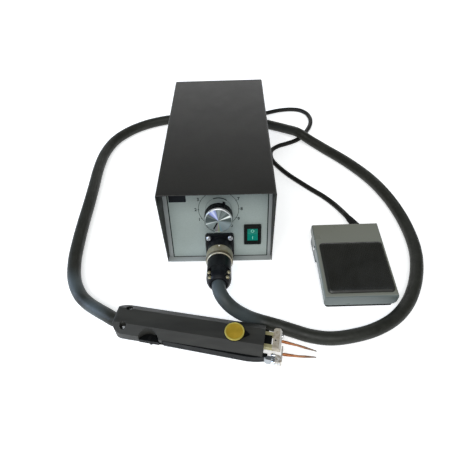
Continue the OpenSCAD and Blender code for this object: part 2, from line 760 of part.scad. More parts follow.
// Outline of the mains inlet's cavity, two of its corners cut off
module inlet_outline(w, h, cut) {
    polygon([[-w / 2, -h / 2], [w / 2, -h / 2], [w / 2, h / 2 - cut], [w / 2 - cut, h / 2],
             [-w / 2 + cut, h / 2], [-w / 2, h / 2 - cut]]);
}
module inlet_blades() {
    for (b = [[-7, -1.5], [7, -1.5], [0, 2]]) translate([b[0] - 1, b[1] - 2, -24]) cube([2, 4, 24 - 1]);
}
module mains_inlet() {
    color("#17181a") at_rear(inlet_x, inlet_z) difference() {
        union() {
            linear_extrude(3) round_rect(inlet_w, inlet_h, 4);
            translate([-inlet_body_w / 2, -inlet_body_h / 2, -18])
                cube([inlet_body_w, inlet_body_h, 18 + eps]);
        }
        translate([0, 0, -14]) linear_extrude(20) inlet_outline(24.4, 16.4, 4);
        for (x = [-20, 20]) translate([x, 0, -1]) {
            cylinder(d = screw_d, h = 6);
            translate([0, 0, 2.6]) cylinder(d1 = screw_d, d2 = 6.4, h = 1.8);
        }
        inlet_blades();
    }
}
module inlet_pins() {
    color("#c9b35c") at_rear(inlet_x, inlet_z) inlet_blades();
}
module unit_gland() {
    color("#1a1a1a") at_rear(gland_x, gland_z) difference() {
        union() {
            cylinder(d = 17.5, h = 4, $fn = 6);
            translate([0, 0, -rear_t - 6]) cylinder(d = 12, h = rear_t + 7);
            translate([0, 0, -rear_t - 4]) cylinder(d = 17.5, h = 4, $fn = 6);
            translate([0, 0, 4 - eps]) cylinder(d = 14.5, h = gland_l - 9);
            translate([0, 0, gland_l - 5 - eps]) cylinder(d1 = 14.5, d2 = 10.5, h = 5);
        }
        translate([0, 0, gland_l - 9]) cylinder(d = cord_d + 0.6, h = 20);
    }
}

// Cables
module tong_cable() {
    at_plug = [for (h = [cable_seat_h, plug_h - 6])
        [unit_x + socket_u, unit_y + panel_foot + socket_v * sin(panel_lean) - h * cos(panel_lean),
         foot_h + socket_v * cos(panel_lean) + h * sin(panel_lean)]];
    at_tongs = [for (s = [-1, 20]) [grip_x + s * cos(grip_turn), grip_y + s * sin(grip_turn), grip_mid]];
    color("#33342e") swept(concat(at_plug, cable_route, at_tongs), cable_d / 2, 12);
}
module pedal_cord() {
    gland_y = unit_y + unit_d - rear_inset + rear_t + gland_l - 9;
    at_gland = [[unit_x + gland_x, gland_y, foot_h + gland_z]];
    // the last two points are in line with the end of the boot
    a = boot_route[3];
    b = boot_route[4];
    at_boot = [for (p = [2 * b - a, b])
        [pedal_x + p[0] * cos(pedal_turn) - p[1] * sin(pedal_turn),
         pedal_y + p[0] * sin(pedal_turn) + p[1] * cos(pedal_turn), p[2]]];
    color("#1b1b1b") swept(concat(at_gland, cord_route, at_boot), cord_d / 2, 8);
}

// Tongs
module grip_section() {
    side = grip_w / 2;
    flat = flat_w / 2;
    rise = grip_h / 2 - side_h / 2;
    polygon([[-flat, 0], [flat, 0], [side, rise], [side, grip_h - rise], [flat, grip_h], [-flat, grip_h],
             [-side, grip_h - rise], [-side, rise]]);
}
// The whole outside of the grip: eight-sided, with its rear end rounded both ways
module grip_body() {
    rear_r = 13;
    top_r = 5;
    intersection() {
        rotate([90, 0, 90]) linear_extrude(grip_l) grip_section();
        linear_extrude(grip_h) union() {
            translate([rear_r, -grip_w / 2]) square([grip_l - rear_r, grip_w]);
            translate([0, -grip_w / 2 + rear_r]) square([grip_l, grip_w - 2 * rear_r]);
            for (p = [-1, 1]) translate([rear_r, p * (grip_w / 2 - rear_r)]) circle(rear_r);
        }
        translate([0, grip_w, 0]) rotate([90, 0, 0]) linear_extrude(2 * grip_w) union() {
            translate([top_r, 0]) square([grip_l - top_r, grip_h]);
            translate([0, top_r]) square([grip_l, grip_h - 2 * top_r]);
            for (z = [top_r, grip_h - top_r]) translate([top_r, z]) circle(top_r);
        }
    }
}
// Everything that is cut out of both halves of the grip. The upper half bridges the slot beside the notch.
module grip_cuts(bridge) {
    // thumb notch over the lever's boss, and the slot that the lever lies in
    translate([pivot_s, notch_p, arm_z - pass]) cylinder(r = notch_r, h = grip_h);
    translate([pivot_s + 6, slot_p - 7, arm_z - pass]) cube([20, 7, arm_h + 2 * pass]);
    translate([pivot_s + (bridge ? 15 : 0), slot_p - 20, arm_z - pass])
        cube([grip_l, 20, arm_h + 2 * pass]);
    // pin, force spindle and spring
    translate([pivot_s, pivot_p, 1.5]) cylinder(d = pin_d, h = grip_h);
    translate([force_s, force_p, 6]) cylinder(d = spindle_d + 2 * run, h = grip_h);
    translate([spring_s, slot_p - 1, arm_z + arm_h / 2]) rotate([-90, 0, 0])
        cylinder(d = spring_bore, h = spring_p0 - slot_p + 1);
    // electrode posts
    for (p = post_ps) translate([post_s0, p - post_w / 2, post_z0]) cube([grip_l, post_w, post_h]);
    // cable
    translate([-10, 0, grip_mid]) rotate([0, 90, 0]) cylinder(d = cable_d + 0.6, h = 30);
    // screws
    for (p = [-1, 1]) translate([grip_screw_s, p * grip_screw_p, 3]) {
        cylinder(d = screw_d, h = grip_h);
        translate([0, 0, grip_seat_z - 3]) cylinder(d = 7.4, h = grip_h);
    }
}
module grip_upper() {
    color("#333431") at_grip() difference() {
        intersection() {
            grip_body();
            translate([-10, -grip_w, grip_mid]) cube([grip_l + 20, 2 * grip_w, grip_h]);
        }
        grip_cuts(true);
    }
}
module grip_lower() {
    color("#3a3b38") at_grip() difference() {
        intersection() {
            grip_body();
            translate([-10, -grip_w, -1]) cube([grip_l + 20, 2 * grip_w, grip_mid + 1]);
        }
        grip_cuts(false);
    }
}
module grip_screws() {
    color("#b5b7b8") at_grip() for (p = [-1, 1])
        translate([grip_screw_s, p * grip_screw_p, grip_seat_z])
            pan_screw(screw_d, grip_seat_z - 3.5, screw_head_d, 2.4);
}

// Outline of the bracket that joins the lever's end to the moving clamp
module bracket_outline() {
    near = bar_s + 4.2;
    polygon([[grip_l - 6, -15.3], [near, -15.3], [near, -17.1], [near - 3.3, -17.1], [near - 4, -19.8],
             [grip_l + 4.2, -19.8], [grip_l + 1, -17.1], [grip_l - 6, -17.1]]);
}
module lever() {
    tip = grip_l + 5;
    color("#0f1211") at_grip() difference() {
        union() {
            translate([0, 0, arm_z]) linear_extrude(arm_h)
                polygon([[pivot_s + 13, arm_in_p - 2.9], [pivot_s + 15.6, arm_in_p - 2.9],
                         [pivot_s + 16.2, arm_out_p + 2.1], [grip_l - 16, arm_out_p],
                         [grip_l - 9, arm_out_p + 0.5],
                         [grip_l - 3, arm_out_p + 1.5], [tip - 3, arm_out_p + 2.8],
                         [tip - 0.6, arm_out_p + 4.2],
                         [tip, -15.4], [tip, arm_in_p], [pivot_s + 13, arm_in_p]]);
            // low tail and boss under the thumb notch
            translate([pivot_s + 2, arm_in_p - 2.9, arm_z]) cube([12, 2.9, boss_h]);
            intersection() {
                translate([pivot_s, notch_p, arm_z]) cylinder(r = notch_r - pass, h = boss_h);
                translate([0, -grip_w / 2 - 0.4, 0]) cube([grip_l, grip_w, grip_h]);
            }
        }
        translate([pivot_s, pivot_p, 0]) cylinder(d = pin_d + 2 * run, h = grip_h);
        translate([0, 0, arm_z + 0.5]) linear_extrude(arm_h - 1) bracket_outline();
        translate([spring_s, spring_p1, arm_z + arm_h / 2]) rotate([-90, 0, 0])
            cylinder(d = spring_bore, h = 10);
    }
}
module lever_pin() {
    color("#303234") at_grip() translate([pivot_s, pivot_p, 1.5])
        cylinder(d = pin_d, h = arm_z + boss_h - 1.5);
}
module return_spring() {
    color("#a7a9ab") at_grip() translate([spring_s, spring_p0, arm_z + arm_h / 2]) rotate([90, 0, 0])
        coil(spring_r, spring_wire, spring_p0 - spring_p1, 5);
}
module electrode_posts() {
    color("#b3ab84") at_grip() for (p = post_ps)
        translate([post_s0, p - post_w / 2, post_z0]) cube([bar_s - post_s0, post_w, post_h]);
}
module fixed_clamp() {
    cut = 2;
    edge = 2.2;
    color("#a8a294") at_grip() difference() {
        translate([0, 0, bar_z0]) linear_extrude(bar_h)
            polygon([[bar_s, bar_p0], [bar_s + bar_t, bar_p0], [bar_s + bar_t, bar_p1 - cut],
                     [bar_s + bar_t - cut, bar_p1], [bar_s + cut, bar_p1], [bar_s, bar_p1 - cut]]);
        translate([bar_s + bar_t, bar_p0 - 1, bar_z0 + bar_h]) rotate([0, 45, 0])
            translate([-edge / sqrt(2), 0, -edge / sqrt(2)])
                cube([edge * sqrt(2), bar_p1 - bar_p0 + 2, edge * sqrt(2)]);
        translate([bar_s + 2.8, 3.6, bar_z0 - 1]) cylinder(d = 2.2, h = bar_h + 2);
        translate([bar_s + 2, fixed_p, electrode_z]) rotate([0, 90, 0]) cylinder(d = electrode_d, h = 20);
        translate([bar_s - 1, post_ps[0], post_z0 + post_h / 2]) rotate([0, 90, 0])
            cylinder(d = bolt_d, h = bar_t + 2);
    }
}
// Bolt that draws the fixed clamp against its post
module clamp_bolts() {
    color("#c4c6c8") at_grip() translate([bar_s + bar_t, post_ps[0], post_z0 + post_h / 2])
        rotate([0, 90, 0])
        pan_screw(bolt_d, bar_t, 4.6, 1.6);
}
// An electrode: a straight shank, then a taper to a fine tip, along a bent line
module electrode(seat_s, face_s, p, mid_p, tip_p) {
    tip_s = bar_s + bar_t + electrode_l;
    mid_s = face_s + (tip_s - face_s) * 0.47;
    swept([[seat_s, p, electrode_z], [face_s + 2, p, electrode_z]], electrode_d / 2, 12);
    hull() {
        translate([face_s + 2 - eps, p, electrode_z]) rotate([0, 90, 0])
            cylinder(d = electrode_d, h = eps, $fn = 16);
        translate([mid_s, mid_p, electrode_z]) rotate([0, 90, 0])
            cylinder(d = electrode_d * 0.95, h = eps, $fn = 16);
    }
    hull() {
        translate([mid_s - eps, mid_p, electrode_z]) rotate([0, 90, 0])
            cylinder(d = electrode_d * 0.95, h = eps, $fn = 16);
        translate([tip_s, tip_p, electrode_z]) rotate([0, 90, 0])
            cylinder(d = electrode_d * 0.55, h = eps, $fn = 16);
    }
}
module fixed_electrode() {
    color("#b5713c") at_grip() electrode(bar_s + 2, bar_s + bar_t, fixed_p, 3.6, 0.4);
}
module moving_clamp() {
    near = bar_s + 4.2;
    round_r = plate_h / 2;
    color("#b4b0a4") at_grip() difference() {
        union() {
            translate([near, plate_p0 + 1, plate_z0])
                cube([front_plate_s - near + eps, -13.6 - plate_p0, plate_h]);
            translate([front_plate_s, 0, 0]) rotate([90, 0, 90]) linear_extrude(front_plate_t) union() {
                translate([plate_p0 + round_r, plate_z0])
                    square([plate_p1 - plate_p0 - 2 * round_r, plate_h]);
                for (p = [plate_p0 + round_r, plate_p1 - round_r]) translate([p, plate_z0 + round_r])
                    circle(round_r);
            }
        }
        for (p = [lever_bolt_p, outer_bolt_p]) translate([bar_s - 5, p, plate_z0 + plate_h / 2])
            rotate([0, 90, 0])
            cylinder(d = bolt_d, h = 40);
        translate([front_plate_s - 1, moving_p, electrode_z]) rotate([0, 90, 0])
            cylinder(d = electrode_d, h = 10);
    }
}
module moving_clamp_screws() {
    near = bar_s + 4.2;
    color("#d0d2d4") at_grip() for (b = [[lever_bolt_p, 4.2], [outer_bolt_p, bolt_head_t]])
        translate([near, b[0], plate_z0 + plate_h / 2]) rotate([0, -90, 0])
            pan_screw(bolt_d, front_plate_s + front_plate_t - near, bolt_head_d, b[1]);
}
module moving_bracket() {
    color("#9fa5a8") at_grip() translate([0, 0, arm_z + 0.5]) linear_extrude(arm_h - 1) bracket_outline();
}
module moving_electrode() {
    color("#b5713c") at_grip()
        electrode(front_plate_s, front_plate_s + front_plate_t, moving_p, -8.6, -6.4);
}
module force_knob() {
    color("#101211") at_grip() translate([force_s, force_p, knob_z]) difference() {
        linear_extrude(knob_disc_t) union() {
            circle(d = force_d - 0.5);
            polygon([[force_d / 2 - 4, -7], [force_d / 2 + 5.8, 0], [force_d / 2 - 4, 7]]);
        }
        translate([0, 0, -1]) cylinder(d = spindle_d, h = knob_disc_t + 2);
    }
}
module force_knob_cap() {
    edge = 0.6;
    color("#94801f") at_grip() translate([force_s, force_p, knob_z + knob_disc_t]) rotate_extrude()
        polygon([[0, 0], [force_d / 2, 0], [force_d / 2, force_cap_t - edge],
            [force_d / 2 - edge, force_cap_t],
                 [0, force_cap_t]]);
}
module force_spindle() {
    color("#8f9396") at_grip() translate([force_s, force_p, 6.3])
        cylinder(d = spindle_d, h = knob_z + knob_disc_t - 6.3);
}

// Pedal
// The treadle's closed outer form, before it is hollowed and trimmed
module treadle_form(grow, deep) {
    r = 1.8 + grow;
    w = pedal_w + 2 * grow;
    l = pedal_l + grow;
    intersection() {
        translate([pedal_w / 2, -5, -deep]) along_y(l + 25) folded_outline(w, deep + grow, r);
        along_x(pedal_w + 10) union() {
            // the front stands upright although the plate slopes
            polygon([[-grow, grow - r], [-grow - (deep + grow - r) * tan(pedal_slope), -deep],
                [l - grow, -deep],
                     [l - grow, grow - r]]);
            translate([r - grow, -deep]) square([l - r, deep + grow]);
            translate([r - grow, grow - r]) circle(r);
        }
    }
}
module treadle() {
    corner = 6;
    color("#6b6b61") difference() {
        at_slope() intersection() {
            difference() {
                treadle_form(0, 25);
                treadle_hollow();
            }
            // depth of the side flanges: shallow in front, deep ears at the pivot
            translate([-1, 0, 0]) along_x(pedal_w + 2)
                polygon([[-5, 1], [-5, -front_drop], [treadle_t + 0.2, -front_drop], [treadle_t + 0.2, -11],
                         [56, -11], [66, -17], [78, -23], [86, -23.5], [94, -23], [103, -20],
                         [pedal_l + 1, -20], [pedal_l + 1, 1]]);
            // lower corners of the front flange
            translate([0, -5, 0]) along_y(pedal_l + 5) union() {
                translate([-1, corner - front_drop]) square([pedal_w + 2, 30]);
                translate([corner, -front_drop]) square([pedal_w - 2 * corner, 30]);
                for (x = [corner, pedal_w - corner]) translate([x, corner - front_drop]) circle(corner);
            }
        }
        at_pedal() translate([-1, pivot_v, pivot_z]) rotate([0, 90, 0])
            cylinder(d = pin_d + 2 * run, h = pedal_w + 2);
    }
}
module treadle_hollow() {
    treadle_form(-treadle_t, 27);
    translate([treadle_t, pedal_l / 2, -27]) cube([pedal_w - 2 * treadle_t, pedal_l, 27 - treadle_t]);
}
module treadle_mat() {
    bevel = 1.1;
    bevel_w = 2.8;
    mat_w = mat_u1 - mat_u0;
    mat_l = mat_v1 - mat_v0;
    color("#23231d") at_slope() translate([(mat_u0 + mat_u1) / 2, (mat_v0 + mat_v1) / 2, 0]) hull() {
        linear_extrude(mat_t - bevel, $fn = 32) round_rect(mat_w, mat_l, 4.5);
        linear_extrude(mat_t, $fn = 32) round_rect(mat_w - 2 * bevel_w, mat_l - 2 * bevel_w, 3);
    }
}
module pedal_base() {
    in = treadle_t + ear_gap;
    rear_v = pedal_l - 2;
    color("#565a5c") at_pedal() difference() {
        union() {
            translate([pedal_inset, 6, base_z]) cube([pedal_w - 2 * pedal_inset, rear_v - 6, base_t]);
            for (u = [in, pedal_w - in - ear_t]) translate([u, 0, 0]) along_x(ear_t)
                polygon([[ear_v, base_z], [rear_v, base_z], [rear_v, 18], [84, 27], [ear_v + 2, 26],
                    [ear_v, 22]]);
            translate([in, ear_v, base_z]) cube([pedal_w - 2 * in, rear_v - ear_v, base_t]);
            translate([in, rear_v - ear_t, base_z]) cube([pedal_w - 2 * in, ear_t, 20]);
        }
        translate([-1, pivot_v, pivot_z]) rotate([0, 90, 0]) cylinder(d = pin_d, h = pedal_w + 2);
        translate([pedal_gland_u, rear_v - 5, pedal_gland_z]) along_y(10) circle(d = 8);
    }
}
module treadle_pin() {
    color("#6f7272") at_pedal() translate([-0.2, pivot_v, pivot_z]) rotate([0, 90, 0]) {
        rotate_extrude() polygon([[0, -1.4], [2, -1.4], [2.8, -0.7], [2.8, 0], [0, 0]]);
        cylinder(d = pin_d, h = pedal_w + 0.4);
        // end of the pin, spread a little
        translate([0, 0, pedal_w + 0.4]) cylinder(d1 = pin_d + 0.9, d2 = pin_d, h = 0.6);
    }
}
module treadle_spring() {
    under = pedal_front_h + tread_spring_v * tan(pedal_slope) - treadle_t / cos(pedal_slope);
    bottom = base_z + base_t;
    color("#a7a9ab") at_pedal() translate([tread_spring_u, tread_spring_v, bottom])
        coil(tread_spring_r, tread_spring_wire, under - bottom - 0.8, 5);
}
module foot_switch() {
    color("#1d1f22") at_pedal() translate([switch_u, switch_v, base_z + base_t]) difference() {
        translate([-5, -14, 0]) cube([10, 28, 13]);
        translate([0, 0, 5]) cylinder(d = plunger_d + 2 * run, h = 10);
        for (y = [-9, 9]) translate([-6, y, 3.5]) rotate([0, 90, 0]) cylinder(d = 2.6, h = 12);
    }
}
module switch_plunger() {
    under = pedal_front_h + switch_v * tan(pedal_slope) - treadle_t / cos(pedal_slope);
    foot = base_z + base_t + 5 + 2.6;
    color("#b0463a") at_pedal() translate([switch_u, switch_v, foot])
        cylinder(d = plunger_d, h = under - 0.4 - foot);
}
module pedal_feet() {
    strip_w = pedal_w - 6;
    color("#1c1c1c") at_pedal() {
        // one strip along the front, two round pads at the back
        translate([pedal_w / 2, 6, 0]) linear_extrude(base_z) round_rect(strip_w, 10, 3);
        for (u = [16, pedal_w - 16]) translate([u, pedal_l - 14, 0]) cylinder(d1 = 11, d2 = 12, h = base_z);
    }
}
module pedal_gland() {
    color("#151515") at_pedal() {
        translate([pedal_gland_u, boot_v, pedal_gland_z]) rotate([-90, 0, 0]) {
            translate([0, 0, -ear_t - 3]) cylinder(d = 8, h = ear_t + 3.5);
            translate([0, 0, -ear_t - 3]) cylinder(d = 11, h = 3);
        }
        swept(boot_route, boot_rs, 16);
    }
}

cover();
chassis();
front_frame();
front_panel();
rear_panel();
unit_feet();
cover_screws();
badge_plate();
transformer_core();
transformer_coil();
transformer_bracket();
control_board();
board_standoffs();
board_parts();
potentiometer();
knob_shaft();
knob_body();
knob_cap();
switch_housing();
switch_rocker();
rocker_lens();
socket_flange();
socket_insert();
socket_screws();
coupling_ring();
plug_shell();
cable_clamp();
clamp_screws();
mains_inlet();
inlet_pins();
unit_gland();
tong_cable();
pedal_cord();
grip_upper();
grip_lower();
grip_screws();
lever();
lever_pin();
return_spring();
electrode_posts();
fixed_clamp();
clamp_bolts();
fixed_electrode();
moving_clamp();
moving_clamp_screws();
moving_bracket();
moving_electrode();
force_knob();
force_knob_cap();
force_spindle();
pedal_base();
treadle();
treadle_mat();
treadle_pin();
treadle_spring();
foot_switch();
switch_plunger();
pedal_feet();
pedal_gland();
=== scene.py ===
"""Looks of the resistance welding tongs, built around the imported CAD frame.

Everything is in metres in the CAD's own frame: the bench at Z = 0, +Y towards the back of the
control unit. Sizes are written in millimetres, as on a drawing, and turned to metres by MM.
"""

from __future__ import annotations

import logging
import math
from dataclasses import dataclass, field
from enum import Enum, IntEnum

import bmesh
import bpy
from mathutils import Matrix, Vector

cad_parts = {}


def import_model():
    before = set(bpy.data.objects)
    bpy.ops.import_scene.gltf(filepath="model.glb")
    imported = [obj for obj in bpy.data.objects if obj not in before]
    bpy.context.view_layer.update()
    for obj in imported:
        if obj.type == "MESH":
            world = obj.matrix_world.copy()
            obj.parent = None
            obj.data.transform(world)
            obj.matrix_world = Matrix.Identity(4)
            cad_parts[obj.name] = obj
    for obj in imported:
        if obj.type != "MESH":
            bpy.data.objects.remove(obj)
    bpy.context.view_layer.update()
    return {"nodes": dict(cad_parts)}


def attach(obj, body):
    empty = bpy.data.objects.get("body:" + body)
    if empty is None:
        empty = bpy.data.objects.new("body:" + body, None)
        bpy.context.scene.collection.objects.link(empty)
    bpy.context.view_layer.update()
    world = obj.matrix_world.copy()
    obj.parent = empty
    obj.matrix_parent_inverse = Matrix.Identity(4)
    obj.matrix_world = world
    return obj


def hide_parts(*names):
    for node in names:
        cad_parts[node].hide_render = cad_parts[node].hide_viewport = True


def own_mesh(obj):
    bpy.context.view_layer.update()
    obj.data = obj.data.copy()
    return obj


MM = 0.001
LOG = logging.getLogger("welding_tongs")
Triple = tuple[float, float, float]
Points = list[Triple]
Profile = list[tuple[float, float]]


class Body(Enum):
    """The bodies of the frame that pieces ride on."""

    ROOT = "root"
    DIAL = "dial"
    ROCKER = "rocker"
    COUPLING = "coupling"
    LEVER = "lever_arm"
    FORCE = "force_dial"
    TREADLE = "treadle_plate"


class Slot(Enum):
    """The record's material slots."""

    CABLE = "cable_black"
    CORD = "cord_black"
    PANEL = "panel_grey"
    KNOB = "knob_black"
    KNOB_CAP = "knob_aluminium"
    LENS = "lens_green"
    RING = "ring_nickel"
    COPPER = "copper"
    SPRING = "spring_steel"
    SCREW = "screw_dark"
    GRIP = "grip_black"
    FORCE_CAP = "cap_yellow"
    MAT = "mat_black"


class Stiffness(Enum):
    """How stiff a cable is."""

    LIMP = "limp"
    MEDIUM = "medium"


class Mix(IntEnum):
    """Sockets of a Mix node that mixes colours."""

    SHARE = 0
    FIRST = 6
    SECOND = 7
    RESULT = 2


class Span(IntEnum):
    """Sockets of a Map Range node."""

    VALUE = 0
    FROM_MIN = 1
    FROM_MAX = 2
    TO_MIN = 3
    TO_MAX = 4


# Places


@dataclass(frozen=True)
class Place:
    """A frame of its own on the object: an origin in millimetres and three directions."""

    origin: Triple
    right: Triple
    up: Triple
    out: Triple

    def at(self, u: float, v: float, h: float = 0.0, turn: float = 0.0) -> Matrix:
        """Gives the place of a piece whose own axes lie along right, up and out.

        Args:
            u: Distance to the right, in millimetres.
            v: Distance up, in millimetres.
            h: Distance out, in millimetres.
            turn: Angle about the outward direction, in degrees.

        Returns:
            The matrix from the piece's own frame to the scene, in metres.
        """
        axes = [Vector(a) for a in (self.right, self.up, self.out)]
        spot = Vector(self.origin) + axes[0] * u + axes[1] * v + axes[2] * h
        basis = Matrix([axes[0], axes[1], axes[2]]).transposed().to_4x4()
        return Matrix.Translation(spot * MM) @ basis @ Matrix.Rotation(math.radians(turn), 4, "Z")


def sine_cosine(angle_deg: float) -> tuple[float, float]:
    """Gives an angle's sine and cosine."""
    return math.sin(math.radians(angle_deg)), math.cos(math.radians(angle_deg))


def panel_place(foot: Triple, lean_deg: float) -> Place:
    """Gives the frame of the leaning front panel, at the foot of its middle line."""
    s, c = sine_cosine(lean_deg)
    return Place(foot, (1, 0, 0), (0, s, c), (0, -c, s))


def bench_place(x: float, y: float, turn_deg: float) -> Place:
    """Gives the frame of a piece that lies on the bench, turned about the vertical."""
    s, c = sine_cosine(turn_deg)
    return Place((x, y, 0.0), (c, s, 0), (-s, c, 0), (0, 0, 1))


def slope_place(base: Place, slope_deg: float, front_h: float) -> Place:
    """Gives the frame of a sloping top.

    Args:
        base: The frame of the piece on the bench, at its front left corner.
        slope_deg: How steeply the top rises to the back, in degrees.
        front_h: Height of its front edge, in millimetres.

    Returns:
        The frame at the top's front left corner, its third direction square to the top.
    """
    s, c = sine_cosine(slope_deg)
    level = Vector(base.up)
    up = level * c + Vector((0, 0, s))
    out = Vector((0, 0, c)) - level * s
    return Place((base.origin[0], base.origin[1], front_h), base.right, tuple(up), tuple(out))


PANEL = panel_place((-43.0, -63.0, 4.0), 13.0)
GRIP = bench_place(-158.9, -160.6, -10.7)
PEDAL = bench_place(79.1, -140.5, 0.8)
TREADLE = slope_place(PEDAL, 6.8, 21.3)


# Finishes

# A noise texture gives values round a half: between these two, one colour turns to the other
CLOUDS_FROM, CLOUDS_TO = 0.35, 0.65
# The same for the patches of gloss, which are smaller than the clouds of colour by this share
GLOSS_FROM, GLOSS_TO, GLOSS_SHARE = 0.3, 0.7, 0.4
# Dots are this much coarser than the grain that they belong to
DOT_SHARE = 1.6
COAT_ROUGHNESS = 0.12
# An edge counts as worn where the softened normal turns from the face's own: two cosines
EDGE_FROM, EDGE_TO = 0.995, 0.9
NICK_MM, NICKS_FROM, NICKS_TO = 4.0, 0.42, 0.62
# The streaks of a turned face take a narrower part of the noise, and so stand out more
STREAKS_FROM, STREAKS_TO, STREAK_GAIN = 0.4, 0.6, 4.0
# A wave texture draws this many bands in the length that its scale names
WAVE_BANDS = 20
BEVEL_SAMPLES = 6


def linear(hex_colour: str) -> tuple[float, float, float, float]:
    """Turns an sRGB hex colour to the linear colour that a shader takes.

    Args:
        hex_colour: A hash sign and six hex digits.

    Returns:
        Red, green, blue and a full alpha.
    """
    values = [int(hex_colour[i : i + 2], 16) / 255 for i in (1, 3, 5)]
    low = [v / 12.92 if v <= 0.04045 else ((v + 0.055) / 1.055) ** 2.4 for v in values]
    return (low[0], low[1], low[2], 1.0)


def add(
    tree: bpy.types.NodeTree, kind: str, inputs: dict | None = None, **settings: object
) -> bpy.types.Node:
    """Adds a node to a material.

    Args:
        tree: The material's node tree.
        kind: The node's type name.
        inputs: Socket name or number, with the value or the socket that feeds it.
        **settings: Properties of the node itself.

    Returns:
        The new node.
    """
    node = tree.nodes.new(kind)
    for key, value in settings.items():
        setattr(node, key, value)
    for key, value in (inputs or {}).items():
        if isinstance(value, bpy.types.NodeSocket):
            tree.links.new(value, node.inputs[key])
        else:
            node.inputs[key].default_value = value
    return node


@dataclass(frozen=True)
class Finish:
    """An opaque surface: a colour that drifts a little, a grain, soft edges and worn corners.

    The second colour, drift, lies in clouds as wide as drift_mm, and the roughness goes up and
    down by swing. The grain has a width and a depth, and its dots lighten and darken the colour
    by the share speckle. Edges are rounded by edge_mm and show the colour worn where they are
    rubbed. Stretch scales all patterns along each axis.

    Sizes are in millimetres. A grain finer than about 0.6 mm doesn't show in the picture, so
    the finest are drawn as coarse as that.
    """

    name: str
    colour: str
    drift: str
    roughness: float
    metallic: float = 0.0
    ior: float = 1.5
    coat: float = 0.0
    specular: float = 0.5
    speckle: float = 0.0
    drift_mm: float = 30.0
    swing: float = 0.08
    grain_mm: float = 0.8
    grain_depth_mm: float = 0.02
    edge_mm: float = 0.35
    worn: str = ""
    stretch: Triple = (1.0, 1.0, 1.0)

    def colour_socket(self, tree: bpy.types.NodeTree, where: bpy.types.NodeSocket) -> bpy.types.NodeSocket:
        """Gives the base colour: the main one, with clouds of the second, and dots where it has them.

        Args:
            tree: The material's node tree.
            where: The place on the piece, in metres.

        Returns:
            The socket that carries the colour.
        """
        clouds = add(tree, "ShaderNodeTexNoise",
                     {"Vector": where, "Scale": 1 / (self.drift_mm * MM), "Detail": 3.0})
        spread = add(tree, "ShaderNodeMapRange", {Span.VALUE: clouds.outputs[0], Span.FROM_MIN: CLOUDS_FROM,
                                                  Span.FROM_MAX: CLOUDS_TO})
        mix = add(tree, "ShaderNodeMix", {Mix.SHARE: spread.outputs[0], Mix.FIRST: linear(self.colour),
                                          Mix.SECOND: linear(self.drift)}, data_type="RGBA")
        if not self.speckle:
            return mix.outputs[Mix.RESULT]
        dots = add(tree, "ShaderNodeTexNoise",
                   {"Vector": where, "Scale": 1 / (self.grain_mm * DOT_SHARE * MM), "Detail": 1.0})
        gain = add(tree, "ShaderNodeMapRange", {Span.VALUE: dots.outputs[0], Span.FROM_MIN: CLOUDS_FROM,
                                                Span.FROM_MAX: CLOUDS_TO, Span.TO_MIN: 1 - self.speckle,
                                                Span.TO_MAX: 1 + self.speckle})
        grey = add(tree, "ShaderNodeCombineXYZ",
                   {"X": gain.outputs[0], "Y": gain.outputs[0], "Z": gain.outputs[0]})
        times = add(tree, "ShaderNodeMix", {Mix.SHARE: 1.0, Mix.FIRST: mix.outputs[Mix.RESULT],
                                            Mix.SECOND: grey.outputs[0]},
                    data_type="RGBA", blend_type="MULTIPLY")
        return times.outputs[Mix.RESULT]

    def height_socket(self, tree: bpy.types.NodeTree, where: bpy.types.NodeSocket) -> bpy.types.NodeSocket:
        """Gives the height of the grain.

        Args:
            tree: The material's node tree.
            where: The place on the piece, in metres.

        Returns:
            The socket that carries the height, from 0 to 1.
        """
        grain = add(tree, "ShaderNodeTexNoise",
                    {"Vector": where, "Scale": 1 / (self.grain_mm * MM), "Detail": 2.0})
        return grain.outputs[0]

    def material(self) -> bpy.types.Material:
        """Makes the material once, and gives the same one after that.

        Returns:
            The material.
        """
        found = bpy.data.materials.get(self.name)
        if found:
            return found
        made = bpy.data.materials.new(self.name)
        made.use_nodes = True
        tree = made.node_tree
        shader = tree.nodes["Principled BSDF"]
        place = add(tree, "ShaderNodeTexCoord")
        scaled = add(tree, "ShaderNodeMapping", {"Vector": place.outputs["Object"], "Scale": self.stretch})
        where = scaled.outputs[0]
        soft = add(tree, "ShaderNodeBevel", {"Radius": self.edge_mm * MM}, samples=BEVEL_SAMPLES)
        colour = self.colour_socket(tree, where)
        if self.worn:
            colour = self.wear(tree, soft, where, colour)
        patches = add(tree, "ShaderNodeTexNoise",
                      {"Vector": where, "Scale": 1 / (self.drift_mm * GLOSS_SHARE * MM), "Detail": 4.0})
        rough = add(tree, "ShaderNodeMapRange", {Span.VALUE: patches.outputs[0], Span.FROM_MIN: GLOSS_FROM,
                                                 Span.FROM_MAX: GLOSS_TO,
                                                 Span.TO_MIN: self.roughness - self.swing,
                                                 Span.TO_MAX: self.roughness + self.swing})
        bump = add(tree, "ShaderNodeBump", {"Height": self.height_socket(tree, where),
                                            "Distance": self.grain_depth_mm * MM,
                                            "Normal": soft.outputs[0]})
        tree.links.new(colour, shader.inputs["Base Color"])
        tree.links.new(rough.outputs[0], shader.inputs["Roughness"])
        tree.links.new(bump.outputs[0], shader.inputs["Normal"])
        shader.inputs["Metallic"].default_value = self.metallic
        shader.inputs["IOR"].default_value = self.ior
        shader.inputs["Coat Weight"].default_value = self.coat
        shader.inputs["Coat Roughness"].default_value = COAT_ROUGHNESS
        shader.inputs["Specular IOR Level"].default_value = self.specular
        self.extra(tree, shader)
        return made

